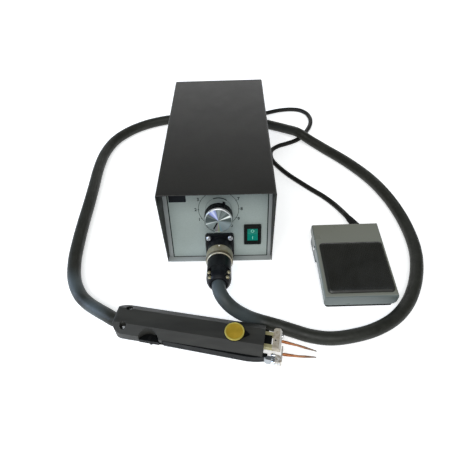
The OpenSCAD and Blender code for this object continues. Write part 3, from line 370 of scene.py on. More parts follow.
    def wear(
        self, tree: bpy.types.NodeTree, soft: bpy.types.Node, where: bpy.types.NodeSocket,
        colour: bpy.types.NodeSocket,
    ) -> bpy.types.NodeSocket:
        """Lightens the edges, where handling has rubbed the surface.

        Args:
            tree: The material's node tree.
            soft: The node that softens the edges.
            where: The place on the piece, in metres.
            colour: The colour of the unworn surface.

        Returns:
            The socket that carries the colour with its worn edges.
        """
        flat = add(tree, "ShaderNodeNewGeometry")
        turn = add(tree, "ShaderNodeVectorMath", {0: soft.outputs[0], 1: flat.outputs["Normal"]},
                   operation="DOT_PRODUCT")
        edge = add(tree, "ShaderNodeMapRange", {Span.VALUE: turn.outputs["Value"], Span.FROM_MIN: EDGE_FROM,
                                                Span.FROM_MAX: EDGE_TO})
        nicks = add(tree, "ShaderNodeTexNoise",
                    {"Vector": where, "Scale": 1 / (NICK_MM * MM), "Detail": 5.0})
        rubbed = add(tree, "ShaderNodeMapRange", {Span.VALUE: nicks.outputs[0], Span.FROM_MIN: NICKS_FROM,
                                                  Span.FROM_MAX: NICKS_TO})
        amount = add(tree, "ShaderNodeMath", {0: edge.outputs[0], 1: rubbed.outputs[0]},
                     operation="MULTIPLY")
        mix = add(tree, "ShaderNodeMix", {Mix.SHARE: amount.outputs[0], Mix.FIRST: colour,
                                          Mix.SECOND: linear(self.worn)}, data_type="RGBA")
        return mix.outputs[Mix.RESULT]

    def extra(self, tree: bpy.types.NodeTree, shader: bpy.types.Node) -> None:
        """Leaves the shader as it is; finishes of another kind change it here."""


@dataclass(frozen=True)
class PaintedRay:
    """A wedge of painted light or shade, spreading out from the middle of a turned face.

    Inside the share of its half angle that core names, it has its full strength.
    """

    at_deg: float
    half_deg: float
    colour: str
    strength: float = 1.0
    core: float = 0.2


@dataclass(frozen=True)
class SpunFinish(Finish):
    """Metal turned on a lathe: fine circular grooves that stretch the gloss, and rays of light and shade
    painted on.

    The real grooves are some hundredths of a millimetre apart, so they are drawn coarser. Streak
    is how much of the second colour the fine streaks take, streak_scale how many there are, and
    across turns the stretched gloss by that share of a whole turn.
    """

    groove_mm: float = 0.7
    painted_rays: tuple[PaintedRay, ...] = ()
    streak: float = 0.25
    streak_scale: float = 9.0
    anisotropy: float = 0.6
    across: float = 0.25

    def colour_socket(self, tree: bpy.types.NodeTree, where: bpy.types.NodeSocket) -> bpy.types.NodeSocket:
        """Gives the metal's colour with its painted rays of light and shade and fine streaks, the same all
        along a radius.

        Args:
            tree: The material's node tree.
            where: The place on the piece, in metres.

        Returns:
            The socket that carries the colour.
        """
        apart = add(tree, "ShaderNodeSeparateXYZ", {"Vector": where})
        level = add(tree, "ShaderNodeCombineXYZ", {"X": apart.outputs["X"], "Y": apart.outputs["Y"]})
        ahead = add(tree, "ShaderNodeVectorMath", {0: level.outputs[0]}, operation="NORMALIZE")
        fine = add(tree, "ShaderNodeTexNoise",
                   {"Vector": ahead.outputs[0], "Scale": self.streak_scale, "Detail": 3.0})
        spread = add(tree, "ShaderNodeMapRange", {Span.VALUE: fine.outputs[0],
                                                  Span.FROM_MIN: STREAKS_FROM, Span.FROM_MAX: STREAKS_TO,
                                                  Span.TO_MAX: self.streak * STREAK_GAIN})
        mix = add(tree, "ShaderNodeMix", {Mix.SHARE: spread.outputs[0], Mix.FIRST: linear(self.colour),
                                          Mix.SECOND: linear(self.drift)}, data_type="RGBA")
        colour = mix.outputs[Mix.RESULT]
        # Each ray paints a wedge of light or shade into the colour
        for ray in self.painted_rays:
            turn = math.radians(ray.at_deg)
            apart = add(tree, "ShaderNodeVectorMath",
                        {0: ahead.outputs[0], 1: (math.cos(turn), math.sin(turn), 0)},
                        operation="DOT_PRODUCT")
            near = add(tree, "ShaderNodeMapRange", {
                Span.VALUE: apart.outputs["Value"],
                Span.FROM_MIN: math.cos(math.radians(ray.half_deg)),
                Span.FROM_MAX: math.cos(math.radians(ray.half_deg * ray.core)),
                Span.TO_MAX: ray.strength}, interpolation_type="SMOOTHSTEP")
            mix = add(tree, "ShaderNodeMix", {Mix.SHARE: near.outputs[0], Mix.FIRST: colour,
                                              Mix.SECOND: linear(ray.colour)}, data_type="RGBA")
            colour = mix.outputs[Mix.RESULT]
        return colour

    def height_socket(self, tree: bpy.types.NodeTree, where: bpy.types.NodeSocket) -> bpy.types.NodeSocket:
        """Gives rings about the piece's own axis.

        Args:
            tree: The material's node tree.
            where: The place on the piece, in metres.

        Returns:
            The socket that carries the height, from 0 to 1.
        """
        rings = add(tree, "ShaderNodeTexWave",
                    {"Vector": where, "Scale": 1 / (self.groove_mm * MM * WAVE_BANDS), "Distortion": 0.0},
                    wave_type="RINGS", rings_direction="Z")
        return rings.outputs["Fac"]

    def extra(self, tree: bpy.types.NodeTree, shader: bpy.types.Node) -> None:
        """Stretches the gloss across the grooves.

        Args:
            tree: The material's node tree.
            shader: The material's shader.
        """
        round_about = add(tree, "ShaderNodeTangent", direction_type="RADIAL", axis="Z")
        tree.links.new(round_about.outputs[0], shader.inputs["Tangent"])
        shader.inputs["Anisotropic"].default_value = self.anisotropy
        shader.inputs["Anisotropic Rotation"].default_value = self.across


@dataclass(frozen=True)
class HeatedFinish(Finish):
    """Copper alloy that heat has darkened towards the tip, along the piece's own X.

    The tint starts at start_mm and covers the copper from end_mm on.
    """

    tint: str = "#6b5e50"
    start_mm: float = 8.0
    end_mm: float = 36.0

    def colour_socket(self, tree: bpy.types.NodeTree, where: bpy.types.NodeSocket) -> bpy.types.NodeSocket:
        """Gives the copper's colour, then the tint towards the tip.

        Args:
            tree: The material's node tree.
            where: The place on the piece, in metres.

        Returns:
            The socket that carries the colour.
        """
        copper = super().colour_socket(tree, where)
        apart = add(tree, "ShaderNodeSeparateXYZ", {"Vector": where})
        along = add(tree, "ShaderNodeMapRange", {Span.VALUE: apart.outputs["X"],
                                                 Span.FROM_MIN: self.start_mm * MM,
                                                 Span.FROM_MAX: self.end_mm * MM})
        mix = add(tree, "ShaderNodeMix", {Mix.SHARE: along.outputs[0], Mix.FIRST: copper,
                                          Mix.SECOND: linear(self.tint)}, data_type="RGBA")
        return mix.outputs[Mix.RESULT]


@dataclass(frozen=True)
class SheenPatchFinish(Finish):
    """Rubber with patches of pale sheen painted about some places of the piece, each with its reach.

    In the middle of a patch the painted sheen covers the share of the colour that full names.
    """

    painted_sheen: str = "#525c5f"
    sheen_spots: tuple[tuple[Triple, float], ...] = ()
    full: float = 0.8

    def colour_socket(self, tree: bpy.types.NodeTree, where: bpy.types.NodeSocket) -> bpy.types.NodeSocket:
        """Gives the rubber's colour, paler near each place where the sheen is painted.

        Args:
            tree: The material's node tree.
            where: The place on the piece, in metres.

        Returns:
            The socket that carries the colour.
        """
        colour = super().colour_socket(tree, where)
        # Each spot paints a patch of pale bluish sheen into the rubber
        for (x, y, z), reach in self.sheen_spots:
            apart = add(tree, "ShaderNodeVectorMath", {0: where, 1: (x * MM, y * MM, z * MM)},
                        operation="DISTANCE")
            near = add(tree, "ShaderNodeMapRange", {Span.VALUE: apart.outputs["Value"],
                                                    Span.FROM_MIN: reach * MM, Span.FROM_MAX: 0.0,
                                                    Span.TO_MAX: self.full}, interpolation_type="SMOOTHSTEP")
            mix = add(tree, "ShaderNodeMix", {Mix.SHARE: near.outputs[0], Mix.FIRST: colour,
                                              Mix.SECOND: linear(self.painted_sheen)}, data_type="RGBA")
            colour = mix.outputs[Mix.RESULT]
        return colour


@dataclass(frozen=True)
class LitFacingFinish(Finish):
    """A surface with another colour painted as light on the faces that look one way.

    A face starts to change where the cosine between its outward direction and that way is
    starts, and has the whole of the other colour at ends.
    """

    # The colour painted as light on the faces that look that way
    other: str = "#ffffff"
    towards: Triple = (0.0, 0.0, 1.0)
    starts: float = 0.6
    ends: float = 0.95

    def colour_socket(self, tree: bpy.types.NodeTree, where: bpy.types.NodeSocket) -> bpy.types.NodeSocket:
        """Gives the surface's colour, and the painted light colour where the surface looks that way.

        Args:
            tree: The material's node tree.
            where: The place on the piece, in metres.

        Returns:
            The socket that carries the colour.
        """
        plain = super().colour_socket(tree, where)
        facing = add(tree, "ShaderNodeNewGeometry")
        along = add(tree, "ShaderNodeVectorMath", {0: facing.outputs["Normal"], 1: self.towards},
                    operation="DOT_PRODUCT")
        side = add(tree, "ShaderNodeMapRange", {Span.VALUE: along.outputs["Value"],
                                                Span.FROM_MIN: self.starts, Span.FROM_MAX: self.ends})
        mix = add(tree, "ShaderNodeMix", {Mix.SHARE: side.outputs[0], Mix.FIRST: plain,
                                          Mix.SECOND: linear(self.other)}, data_type="RGBA")
        return mix.outputs[Mix.RESULT]


@dataclass(frozen=True)
class LitFinish(Finish):
    """A surface that gives some light of its own colour."""

    glow: float = 0.12

    def extra(self, tree: bpy.types.NodeTree, shader: bpy.types.Node) -> None:
        """Adds the glow."""
        shader.inputs["Emission Color"].default_value = linear(self.colour)
        shader.inputs["Emission Strength"].default_value = self.glow


@dataclass(frozen=True)
class LensFinish(LitFinish):
    """Clear coloured plastic with a lamp behind it."""

    depth: float = 0.35

    def extra(self, tree: bpy.types.NodeTree, shader: bpy.types.Node) -> None:
        """Lets some light through and adds the lamp's glow."""
        super().extra(tree, shader)
        shader.inputs["Transmission Weight"].default_value = self.depth


# Control unit: sheet, panel and feet

# Powder coat, sprayed and baked: small even pimples, so the black turns grey where light grazes it
POWDER_COAT = Finish("black powder coated steel", "#12110c", "#181711", 0.42, specular=0.4, drift_mm=60,
                     swing=0.04, grain_mm=1.1, grain_depth_mm=0.12, edge_mm=0.8, worn="#33322e",
                     speckle=0.22)
# Enamel, sprayed on folded sheet: smooth and slightly wavy, with a soft shine along the folds
GREY_ENAMEL = Finish("grey enamelled steel", "#9aa09f", "#a3a8a7", 0.42, coat=0.1, grain_mm=3.0,
                     grain_depth_mm=0.02, edge_mm=0.5)
# Satin paint on a milled plate: flat and even with hardly a highlight, so the print on it reads well
PANEL_PAINT = Finish("satin grey-green painted panel", "#9ca8a4", "#a3aeaa", 0.5, specular=0.3,
                     drift_mm=80, grain_mm=0.8, grain_depth_mm=0.012, edge_mm=0.3, speckle=0.04)
# Plastic foil, coated dark on its back: an even blue-black with hardly any shine
BADGE_FOIL = Finish("dark coated foil", "#101419", "#191e25", 0.4, specular=0.12, edge_mm=0.15)
# Dark strip in the panel's groove: painted shade for the gap, a dull dark line that no light catches
GROOVE_SHADE_STRIP = Finish("dark groove shade strip", "#29302d", "#333a37", 0.7, specular=0.15, edge_mm=0.1)
# Compression moulded rubber: deep dull black, slightly rough
BLACK_RUBBER = Finish("moulded black rubber", "#171717", "#1d1d1c", 0.75, specular=0.2,
                      grain_depth_mm=0.05)

# Screws, pins and springs

# Steel, blackened hot in oil: dark grey metal with a quiet glint
DARK_STEEL = Finish("blackened steel", "#3a3a3a", "#2a2a2b", 0.42, metallic=1.0, edge_mm=0.15)
# Steel, plated bright in a barrel: small sharp glints
BRIGHT_STEEL = Finish("bright plated steel", "#dfe1e3", "#c9cbcd", 0.2, metallic=1.0, edge_mm=0.2)
# The same plate gone dull: pale heads with soft blotches
PLATED_SCREW = Finish("dull plated screw head", "#e2e4e6", "#b4b8bc", 0.3, metallic=0.72, drift_mm=2.5,
                      edge_mm=0.6)
# Chrome, plated on polished steel: white where it sees the floor, black where it sees the room
CHROME = Finish("chrome plate", "#eef1f4", "#dfe3e8", 0.1, metallic=1.0, drift_mm=5, swing=0.03,
                edge_mm=0.4, grain_depth_mm=0.004)
# Brass screws, turned and handled: a pale gold that has gone grey in places
PALE_BRASS = Finish("pale worn brass screw", "#bab6a4", "#8a7f52", 0.36, metallic=0.7, drift_mm=2.5,
                    edge_mm=0.4)
# Brass, turned from bar: warm yellow with a clean shine
TURNED_BRASS = Finish("turned brass", "#b99d57", "#c4a963", 0.3, metallic=1.0, edge_mm=0.15)
# Sheet, zinc plated in a bath: cool grey with faint pale flowers
ZINC = Finish("zinc plated sheet", "#b4b8bb", "#a4a9ad", 0.32, metallic=1.0, drift_mm=8)
# Drawn spring wire: even grey with a line of light along each turn
SPRING_WIRE = Finish("spring wire", "#a9abad", "#909295", 0.25, metallic=1.0, edge_mm=0.05)

# Inside the unit

# Punched laminations, stacked: fine dark lines across the core
CORE_STEEL = Finish("stacked steel laminations", "#55585c", "#3f4246", 0.5, metallic=1.0,
                    stretch=(1.0, 8.0, 1.0), grain_mm=4.0, grain_depth_mm=0.2)
# Copper winding, taped and dipped in varnish: amber with a wet shine
COIL_TAPE = Finish("varnished winding under tape", "#a5642f", "#8a4f22", 0.4, coat=0.3)
# Glass laminate under solder lacquer: glossy dark green
BOARD = Finish("green lacquered board", "#245a39", "#2d6a45", 0.35, coat=0.4)
# Aluminium, anodised black: blue-grey and nearly dull
BOARD_PARTS = Finish("black anodised cooler and cans", "#2c3038", "#3c4250", 0.4)
# Phenolic resin, moulded hot: brown, close and slightly glossy
INSULATOR = Finish("brown moulded insulator", "#6d4a32", "#5e3f2b", 0.5)

# Dial and switch

# ABS, injection moulded: near black, its edges drawn by thin highlights
KNOB_PLASTIC = Finish("moulded black plastic", "#08090a", "#0d0e10", 0.4, specular=0.15, drift_mm=15,
                      grain_mm=1.0, grain_depth_mm=0.015)
# Nylon, moulded in a satin tool: a softer black with a broad faint sheen
SATIN_PLASTIC = Finish("satin black plastic", "#0c0e0e", "#111413", 0.45, specular=0.12,
                       grain_depth_mm=0.02, edge_mm=0.3)
# Aluminium, face turned and lacquered: wedges of white, blue and grey painted out from the middle as
# reflections and shade
SPUN_ALUMINIUM = SpunFinish("spun aluminium", "#4f5755", "#848d8b", 0.34, metallic=1.0,
                            grain_depth_mm=0.006, edge_mm=0.1, swing=0.03, streak=0.3, painted_rays=(
                                PaintedRay(305.0, 70.0, "#93a0a2", 0.9), PaintedRay(220.0, 50.0, "#8a9593", 0.8),
                                PaintedRay(172.0, 26.0, "#3f4746", 0.85), PaintedRay(196.0, 4.5, "#d0d8d6", 0.9),
                                PaintedRay(120.0, 24.0, "#9fa9e2"), PaintedRay(118.0, 9.0, "#dfe4fb", 0.8),
                                PaintedRay(88.0, 9.0, "#9aa4a1", 0.8), PaintedRay(5.0, 20.0, "#454e4b", 0.9),
                                PaintedRay(23.0, 8.0, "#eef3ee"), PaintedRay(270.0, 7.0, "#a9b07c", 0.6),
                                PaintedRay(282.0, 6.0, "#7fa8b8", 0.6), PaintedRay(259.0, 6.0, "#b08f9a", 0.5)))
# Its turned edge, cut with a diamond: a painted highlight, white towards the sky, as grey as the panel below
POLISHED_RIM = SpunFinish("aluminium rim with painted highlight", "#7f8885", "#757e7b", 0.3, metallic=0.8, edge_mm=0.1,
                          grain_depth_mm=0.002, streak=0.1,
                          painted_rays=(PaintedRay(88.0, 96.0, "#c9d0ce", 0.9), PaintedRay(84.0, 66.0, "#fdfefe")))
# Polycarbonate, moulded clear green over a lamp: deep colour that glows a little from within
GREEN_LENS = LensFinish("clear green lens", "#04917e", "#03806e", 0.22, ior=1.49, specular=0.2,
                        edge_mm=0.2, grain_depth_mm=0.004, glow=0.14)
# Ink, pad printed on the lens: pale and dull, lit from behind
LENS_MARK = LitFinish("pale printed ink", "#8fdcc4", "#84d0b8", 0.5, edge_mm=0.05, glow=0.12)
# Ink, screen printed on the panel: dull dark grey, a little uneven
DIAL_INK = Finish("grey printed ink", "#2b3331", "#353d3b", 0.55, specular=0.2, edge_mm=0.02)
# The same ink laid on thin: a grey that hardly parts from the paint
FAINT_INK = Finish("faint grey ink", "#6d7876", "#75807e", 0.55, specular=0.2, edge_mm=0.02)

# Socket, plug and cables

# Die casting, coated black: fine sparkle, with grey where the coat has rubbed through on the edges
BLACK_COAT = Finish("black coated casting", "#0d0e10", "#14161a", 0.35, specular=0.2, grain_mm=0.8,
                    grain_depth_mm=0.02, edge_mm=0.35, worn="#3a3833", speckle=0.25)
# Nickel on turned brass, worn by hands: warm grey, brassy in patches
WORN_NICKEL = Finish("worn nickel", "#bcb7a4", "#a39875", 0.45, metallic=0.6, drift_mm=9, swing=0.14,
                     grain_mm=0.7, grain_depth_mm=0.02, edge_mm=0.2, worn="#c6c2b2")
# The same, painted a darker brown-grey on the front chamfer: painted shade
SHADED_NICKEL = Finish("nickel painted as shade", "#6a6351", "#7d7663", 0.42, metallic=0.8, drift_mm=6)
# The same on its front edge: a thin line of nearly white, a painted highlight
HIGHLIGHT_NICKEL = Finish("nickel edge painted as highlight", "#fbf8ea", "#efe8c9", 0.32, metallic=0.4, drift_mm=4,
                       edge_mm=0.15)
# Enamel paint, dabbed on by hand: a small dull white spot that glows a little, painted light
GLOWING_WHITE_PAINT = LitFinish("white paint with painted glow", "#f2f1ea", "#e6e5de", 0.5, edge_mm=0.1, glow=0.25)
# Rubber, extruded over the cable: satin black, with patches of pale bluish sheen painted in by the
# plug and by the grip, as reflections of the window
CABLE_RUBBER = SheenPatchFinish("black cable rubber", "#21221c", "#2b2c26", 0.5, specular=0.3, drift_mm=30,
                           swing=0.1, speckle=0.12, grain_mm=2.2, grain_depth_mm=0.10, sheen_spots=(
                               ((-40.0, -140.0, 41.0), 34.0), ((-17.0, -160.0, 21.0), 34.0),
                               ((-220.0, -110.0, 8.0), 32.0), ((-186.0, -145.0, 11.0), 30.0)))
# Rubber, extruded thin: darker and smoother than the heavy cable
CORD_RUBBER = Finish("black cord sheath", "#161612", "#1c1c18", 0.5, specular=0.25, drift_mm=30,
                     grain_mm=1.5, grain_depth_mm=0.05)

# Tongs

# Cloth laminate, milled: charcoal with faint tool marks along the grip and grey rubbed edges
GRIP_LAMINATE = Finish("machined black laminate", "#2e2e2b", "#373733", 0.5, specular=0.3, drift_mm=18,
                       grain_mm=0.8, grain_depth_mm=0.03, edge_mm=0.45, worn="#4a4c49",
                       stretch=(0.35, 1.6, 1.6))
# The same laminate, but much darker: plain deep black
LEVER_LAMINATE = Finish("black laminate", "#080a0a", "#0c0e0e", 0.5, specular=0.12, edge_mm=0.3,
                        grain_depth_mm=0.02)
# Brass bar, tinned by hand: pale yellow-green, uneven
TINNED_BRASS = Finish("tinned brass bar", "#cfcaa0", "#bdb382", 0.4, metallic=0.55, drift_mm=5,
                      grain_mm=0.8, grain_depth_mm=0.03, edge_mm=0.25)
# Nickel plate over brushed brass: stone grey with darker freckles, a white highlight painted on the chamfer
# towards the tips
BRUSHED_NICKEL = LitFacingFinish("brushed nickel plate", "#cfc8ba", "#b0a38b", 0.36, metallic=0.3,
                              drift_mm=3, grain_mm=0.6, grain_depth_mm=0.015, edge_mm=0.5, worn="#f4f2ea",
                              speckle=0.1, other="#fffdf6", towards=(0.983, -0.186, 0.0), starts=0.4,
                              ends=0.65)
# Copper alloy, drawn, filed and heated by its work: orange at the clamp, brown-grey at the tip
HEATED_COPPER = HeatedFinish("heated copper alloy", "#bd7c4c", "#94572f", 0.36, metallic=0.6, drift_mm=3,
                             grain_mm=0.7, grain_depth_mm=0.02, edge_mm=0.05)
# Bright plate, scratched by the bench: silver with brown stains
WORN_PLATE = Finish("worn bright plate", "#ebe8e1", "#a99b86", 0.25, metallic=0.45, drift_mm=2.5,
                    grain_mm=0.6, grain_depth_mm=0.01, edge_mm=0.4)
# Urea resin, pressed: flat ochre that handling has dulled
OCHRE_CAP = Finish("ochre moulded cap", "#9a8020", "#ab8d28", 0.4, specular=0.3, drift_mm=9,
                   grain_mm=0.9, grain_depth_mm=0.02, edge_mm=0.3)
# The same on its rim: paler
OCHRE_RIM = Finish("paler ochre rim", "#bdb05a", "#a99b40", 0.4, specular=0.3, drift_mm=9, edge_mm=0.3)

# Pedal

# Enamel, sprayed on folded sheet: grey-green, its faces that look up painted paler and warmer as lit from
# above
PEDAL_ENAMEL = LitFacingFinish("grey enamel with painted top light", "#626c6b", "#69736f", 0.34, specular=0.45,
                            drift_mm=50, grain_mm=2.5, grain_depth_mm=0.03, edge_mm=0.9, other="#7c7e73")
# The same enamel below, painted darker as shaded: a darker blue-grey
BASE_ENAMEL = Finish("dark grey enamel", "#5e666a", "#666e71", 0.4, specular=0.3, grain_mm=2.5,
                     grain_depth_mm=0.03)
# Ribbed rubber, moulded: brown-black with a satin line along each rib
MAT_RUBBER = Finish("ribbed mat rubber", "#20201b", "#262621", 0.4, specular=0.4, drift_mm=25,
                    grain_mm=0.9, grain_depth_mm=0.03, edge_mm=0.15)
# Nylon, moulded red: clean and shiny
RED_BUTTON = Finish("red moulded button", "#b0463a", "#a03c31", 0.35, coat=0.2)

NODE_FINISHES: dict[Finish, tuple[str, ...]] = {
    POWDER_COAT: ("cover",),
    GREY_ENAMEL: ("chassis", "front_frame", "rear_panel"),
    PANEL_PAINT: ("front_panel",),
    BADGE_FOIL: ("badge_plate",),
    BLACK_RUBBER: ("unit_feet", "pedal_feet", "pedal_gland"),
    DARK_STEEL: ("cover_screws", "lever_pin"),
    BRIGHT_STEEL: ("grip_screws", "clamp_bolts", "treadle_pin"),
    PLATED_SCREW: ("socket_screws",),
    CHROME: ("moving_clamp_screws",),
    WORN_PLATE: ("moving_clamp",),
    CORE_STEEL: ("transformer_core",),
    COIL_TAPE: ("transformer_coil",),
    ZINC: ("transformer_bracket", "potentiometer", "knob_shaft", "moving_bracket", "force_spindle"),
    BOARD: ("control_board",),
    TURNED_BRASS: ("board_standoffs", "inlet_pins"),
    PALE_BRASS: ("clamp_screws",),
    BOARD_PARTS: ("board_parts",),
    KNOB_PLASTIC: ("force_knob",),
    SATIN_PLASTIC: ("switch_housing", "switch_rocker", "mains_inlet", "unit_gland", "foot_switch"),
    GREEN_LENS: ("rocker_lens",),
    BLACK_COAT: ("socket_flange", "plug_shell", "cable_clamp"),
    INSULATOR: ("socket_insert",),
    GRIP_LAMINATE: ("grip_upper", "grip_lower"),
    LEVER_LAMINATE: ("lever",),
    TINNED_BRASS: ("electrode_posts",),
    BRUSHED_NICKEL: ("fixed_clamp",),
    PEDAL_ENAMEL: ("treadle",),
    BASE_ENAMEL: ("pedal_base",),
    RED_BUTTON: ("switch_plunger",),
}


def dress_nodes(nodes: dict[str, bpy.types.Object]) -> None:
    """Gives every CAD node that stays its own finish.

    Args:
        nodes: The frame's CAD objects by name.
    """
    for finish, names in NODE_FINISHES.items():
        for name in names:
            for piece_slot in nodes[name].material_slots:
                piece_slot.material = finish.material()


# Making meshes


def new_piece(
    name: str, mesh: bmesh.types.BMesh, at: Matrix, finish: Finish, smooth_deg: float = 35.0
) -> bpy.types.Object:
    """Turns a drawn mesh into an object of the scene.

    Args:
        name: The piece's name.
        mesh: The drawn faces, in metres in the piece's own frame.
        at: The piece's place.
        finish: Its finish.
        smooth_deg: Faces that meet at less than this angle shade as one.

    Returns:
        The new object.
    """
    bmesh.ops.recalc_face_normals(mesh, faces=mesh.faces)
    data = bpy.data.meshes.new(name)
    mesh.to_mesh(data)
    mesh.free()
    piece = bpy.data.objects.new(name, data)
    bpy.context.scene.collection.objects.link(piece)
    data.shade_smooth()
    data.set_sharp_from_angle(angle=math.radians(smooth_deg))
    data.materials.append(finish.material())
    piece.matrix_world = at
    return piece


def seat(piece: bpy.types.Object, body: Body, slot: Slot, *stands_for: str) -> None:
    """Makes a piece ride on a body and hides the nodes that it stands for.

    Args:
        piece: The piece.
        body: The body that it rides on.
        slot: The record's slot that its finish belongs to; not used.
        *stands_for: Names of the CAD nodes that it replaces.
    """
    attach(piece, body.value)
    if stands_for:
        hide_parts(*stands_for)
    LOG.info("%s rides on %s", piece.name, body.value)


def lathe(profile: Profile, steps: int = 96) -> bmesh.types.BMesh:
    """Turns a profile about the piece's own Z.

    The small steps of a few tenths of a millimetre in the profiles are rounded corners.

    Args:
        profile: Radius and height of each of its corners, in millimetres.
        steps: Number of steps round the axis.

    Returns:
        The drawn faces.
    """
    mesh = bmesh.new()
    rings = []
    for radius, height in profile:
        if radius == 0:
            rings.append([mesh.verts.new((0, 0, height * MM))])
            continue
        angles = [2 * math.pi * k / steps for k in range(steps)]
        rings.append([mesh.verts.new((radius * MM * math.cos(a), radius * MM * math.sin(a), height * MM))
                      for a in angles])
    for low, high in zip(rings, rings[1:]):
        for k in range(steps):
            n = (k + 1) % steps
            corners = [low[k % len(low)], low[n % len(low)], high[n % len(high)], high[k % len(high)]]
            mesh.faces.new(list(dict.fromkeys(corners)))
    return mesh


def along_curve(points: Points, radii: list[float], sides: int) -> bmesh.types.BMesh:
    """Draws a closed tube along points.

    Args:
        points: The points of its middle line, in millimetres.
        radii: Its radius at each point, in millimetres.
        sides: Number of corners round it.

    Returns:
        The drawn faces.
    """
    mesh = bmesh.new()
    line = [Vector(p) * MM for p in points]
    ahead = (line[1] - line[0]).normalized()
    side = ahead.orthogonal().normalized()
    rings = []
    for i, spot in enumerate(line):
        ahead = (line[min(i + 1, len(line) - 1)] - line[max(i - 1, 0)]).normalized()
        side = (side - ahead * side.dot(ahead)).normalized()
        other = ahead.cross(side)
        turns = [2 * math.pi * k / sides for k in range(sides)]
        rings.append([mesh.verts.new(spot + (side * math.cos(t) + other * math.sin(t)) * radii[i] * MM)
                      for t in turns])
    for low, high in zip(rings, rings[1:]):
        for k in range(sides):
            mesh.faces.new((low[k], low[(k + 1) % sides], high[(k + 1) % sides], high[k]))
    for ring in (rings[0], rings[-1]):
        mesh.faces.new(ring)
    return mesh


def smooth_through(points: Points, per_span: int) -> Points:
    """Draws a smooth curve through points.

    Args:
        points: The points.
        per_span: Number of steps between each two of them.

    Returns:
        The points of the curve, the given ones among them.
    """
    line = [Vector(p) for p in points]
    made: list[Vector] = []
    for i in range(len(line) - 1):
        a, b = line[max(i - 1, 0)], line[i]
        c, d = line[i + 1], line[min(i + 2, len(line) - 1)]
        for k in range(per_span):
            t = k / per_span
            made.append(0.5 * ((2 * b) + (c - a) * t + (2 * a - 5 * b + 4 * c - d) * t**2
                               + (3 * b - a - 3 * c + d) * t**3))
    made.append(line[-1])
    return [tuple(p) for p in made]


def flat_ring(
    inner: float, outer: float, start: float, end: float, thick: float, steps: int
) -> bmesh.types.BMesh:
    """Draws a flat printed arc, a little thick.

    Args:
        inner: Its inner radius, in millimetres.
        outer: Its outer radius, in millimetres.
        start: The angle where it starts, in degrees.
        end: The angle where it ends; a whole turn after the start, it closes.
        thick: Thickness of the ink, in millimetres.
        steps: Number of steps along it.

    Returns:
        The drawn faces.
    """
    mesh = bmesh.new()
    rows = []
    closed = end - start >= 360
    for k in range(steps if closed else steps + 1):
        a = math.radians(start + (end - start) * k / steps)
        ray = Vector((math.cos(a), math.sin(a), 0)) * MM
        lift = Vector((0, 0, thick * MM))
        rows.append([mesh.verts.new(p) for p in (ray * inner, ray * outer, ray * outer + lift,
                                                 ray * inner + lift)])
    for k in range(steps):
        a, b = rows[k], rows[(k + 1) % len(rows)]
        for i in range(4):
            mesh.faces.new((a[i], a[(i + 1) % 4], b[(i + 1) % 4], b[i]))
    if not closed:
        for row in (rows[0], rows[-1]):
            mesh.faces.new(row)
    return mesh


def add_bar(mesh: bmesh.types.BMesh, x0: float, x1: float, half: float, thick: float, turn: float) -> None:
    """Adds a flat bar that points away from the middle.

    Args:
        mesh: The mesh that it is added to.
        x0: Distance of its near end from the middle, in millimetres.
        x1: Distance of its far end, in millimetres.
        half: Half its width, in millimetres.
        thick: Its thickness, in millimetres.
        turn: The direction that it points in, in degrees.
    """
    spin = Matrix.Rotation(math.radians(turn), 4, "Z")
    corners = [(x0, -half, 0), (x1, -half, 0), (x1, half, 0), (x0, half, 0)]
    low = [mesh.verts.new(spin @ Vector(c) * MM) for c in corners]
    high = [mesh.verts.new((spin @ Vector(c) + Vector((0, 0, thick))) * MM) for c in corners]
    close_box(mesh, low, high)


def add_box(mesh: bmesh.types.BMesh, low: Triple, high: Triple) -> None:
    """Adds a box.

    Args:
        mesh: The mesh that it is added to.
        low: Its lowest corner, in millimetres.
        high: Its highest corner, in millimetres.
    """
    x, y, z = zip(low, high)
    ends = [[mesh.verts.new(Vector((x[i], y[j], z[k])) * MM) for i, j in ((0, 0), (1, 0), (1, 1), (0, 1))]
            for k in (0, 1)]
    close_box(mesh, *ends)


def close_box(mesh: bmesh.types.BMesh, low: list, high: list) -> None:
    """Draws the six faces between four corners below and four above.

    Args:
        mesh: The mesh that holds the corners.
        low: The corners below, in turn.
        high: The corners above, in the same order.
    """
    mesh.faces.new(low[::-1])
    mesh.faces.new(high)
    for i in range(4):
        j = (i + 1) % 4
        mesh.faces.new((low[i], low[j], high[j], high[i]))


def squeeze(vert: bmesh.types.BMVert, share: float) -> None:
    """Moves a point towards the piece's own axis, or away from it, to a share of its distance."""
    vert.co.x, vert.co.y = vert.co.x * share, vert.co.y * share


def weld(mesh: bmesh.types.BMesh) -> None:
    """Joins corners that lie on each other, to a thousandth of a millimetre."""
    bmesh.ops.remove_doubles(mesh, verts=mesh.verts, dist=0.001 * MM)


def figure(text: str, tall: float, thick: float) -> bpy.types.Mesh:
    """Draws a figure as a flat mesh, centred, in metres.

    Args:
        text: The figure.
        tall: Height of a numeral in millimetres.
        thick: Thickness of the ink in millimetres.

    Returns:
        The mesh.
    """
    numeral_share, bolder_mm = 0.7, 0.2
    curve = bpy.data.curves.new("figure", "FONT")
    curve.body = text
    curve.size = tall * MM / numeral_share
    curve.extrude = thick / 2 * MM
    curve.offset = bolder_mm * MM
    curve.align_x, curve.align_y = "CENTER", "CENTER"
    holder = bpy.data.objects.new("figure", curve)
    drawn = bpy.data.meshes.new_from_object(holder)
    bpy.data.objects.remove(holder)
    bpy.data.curves.remove(curve)
    return drawn


# Cables


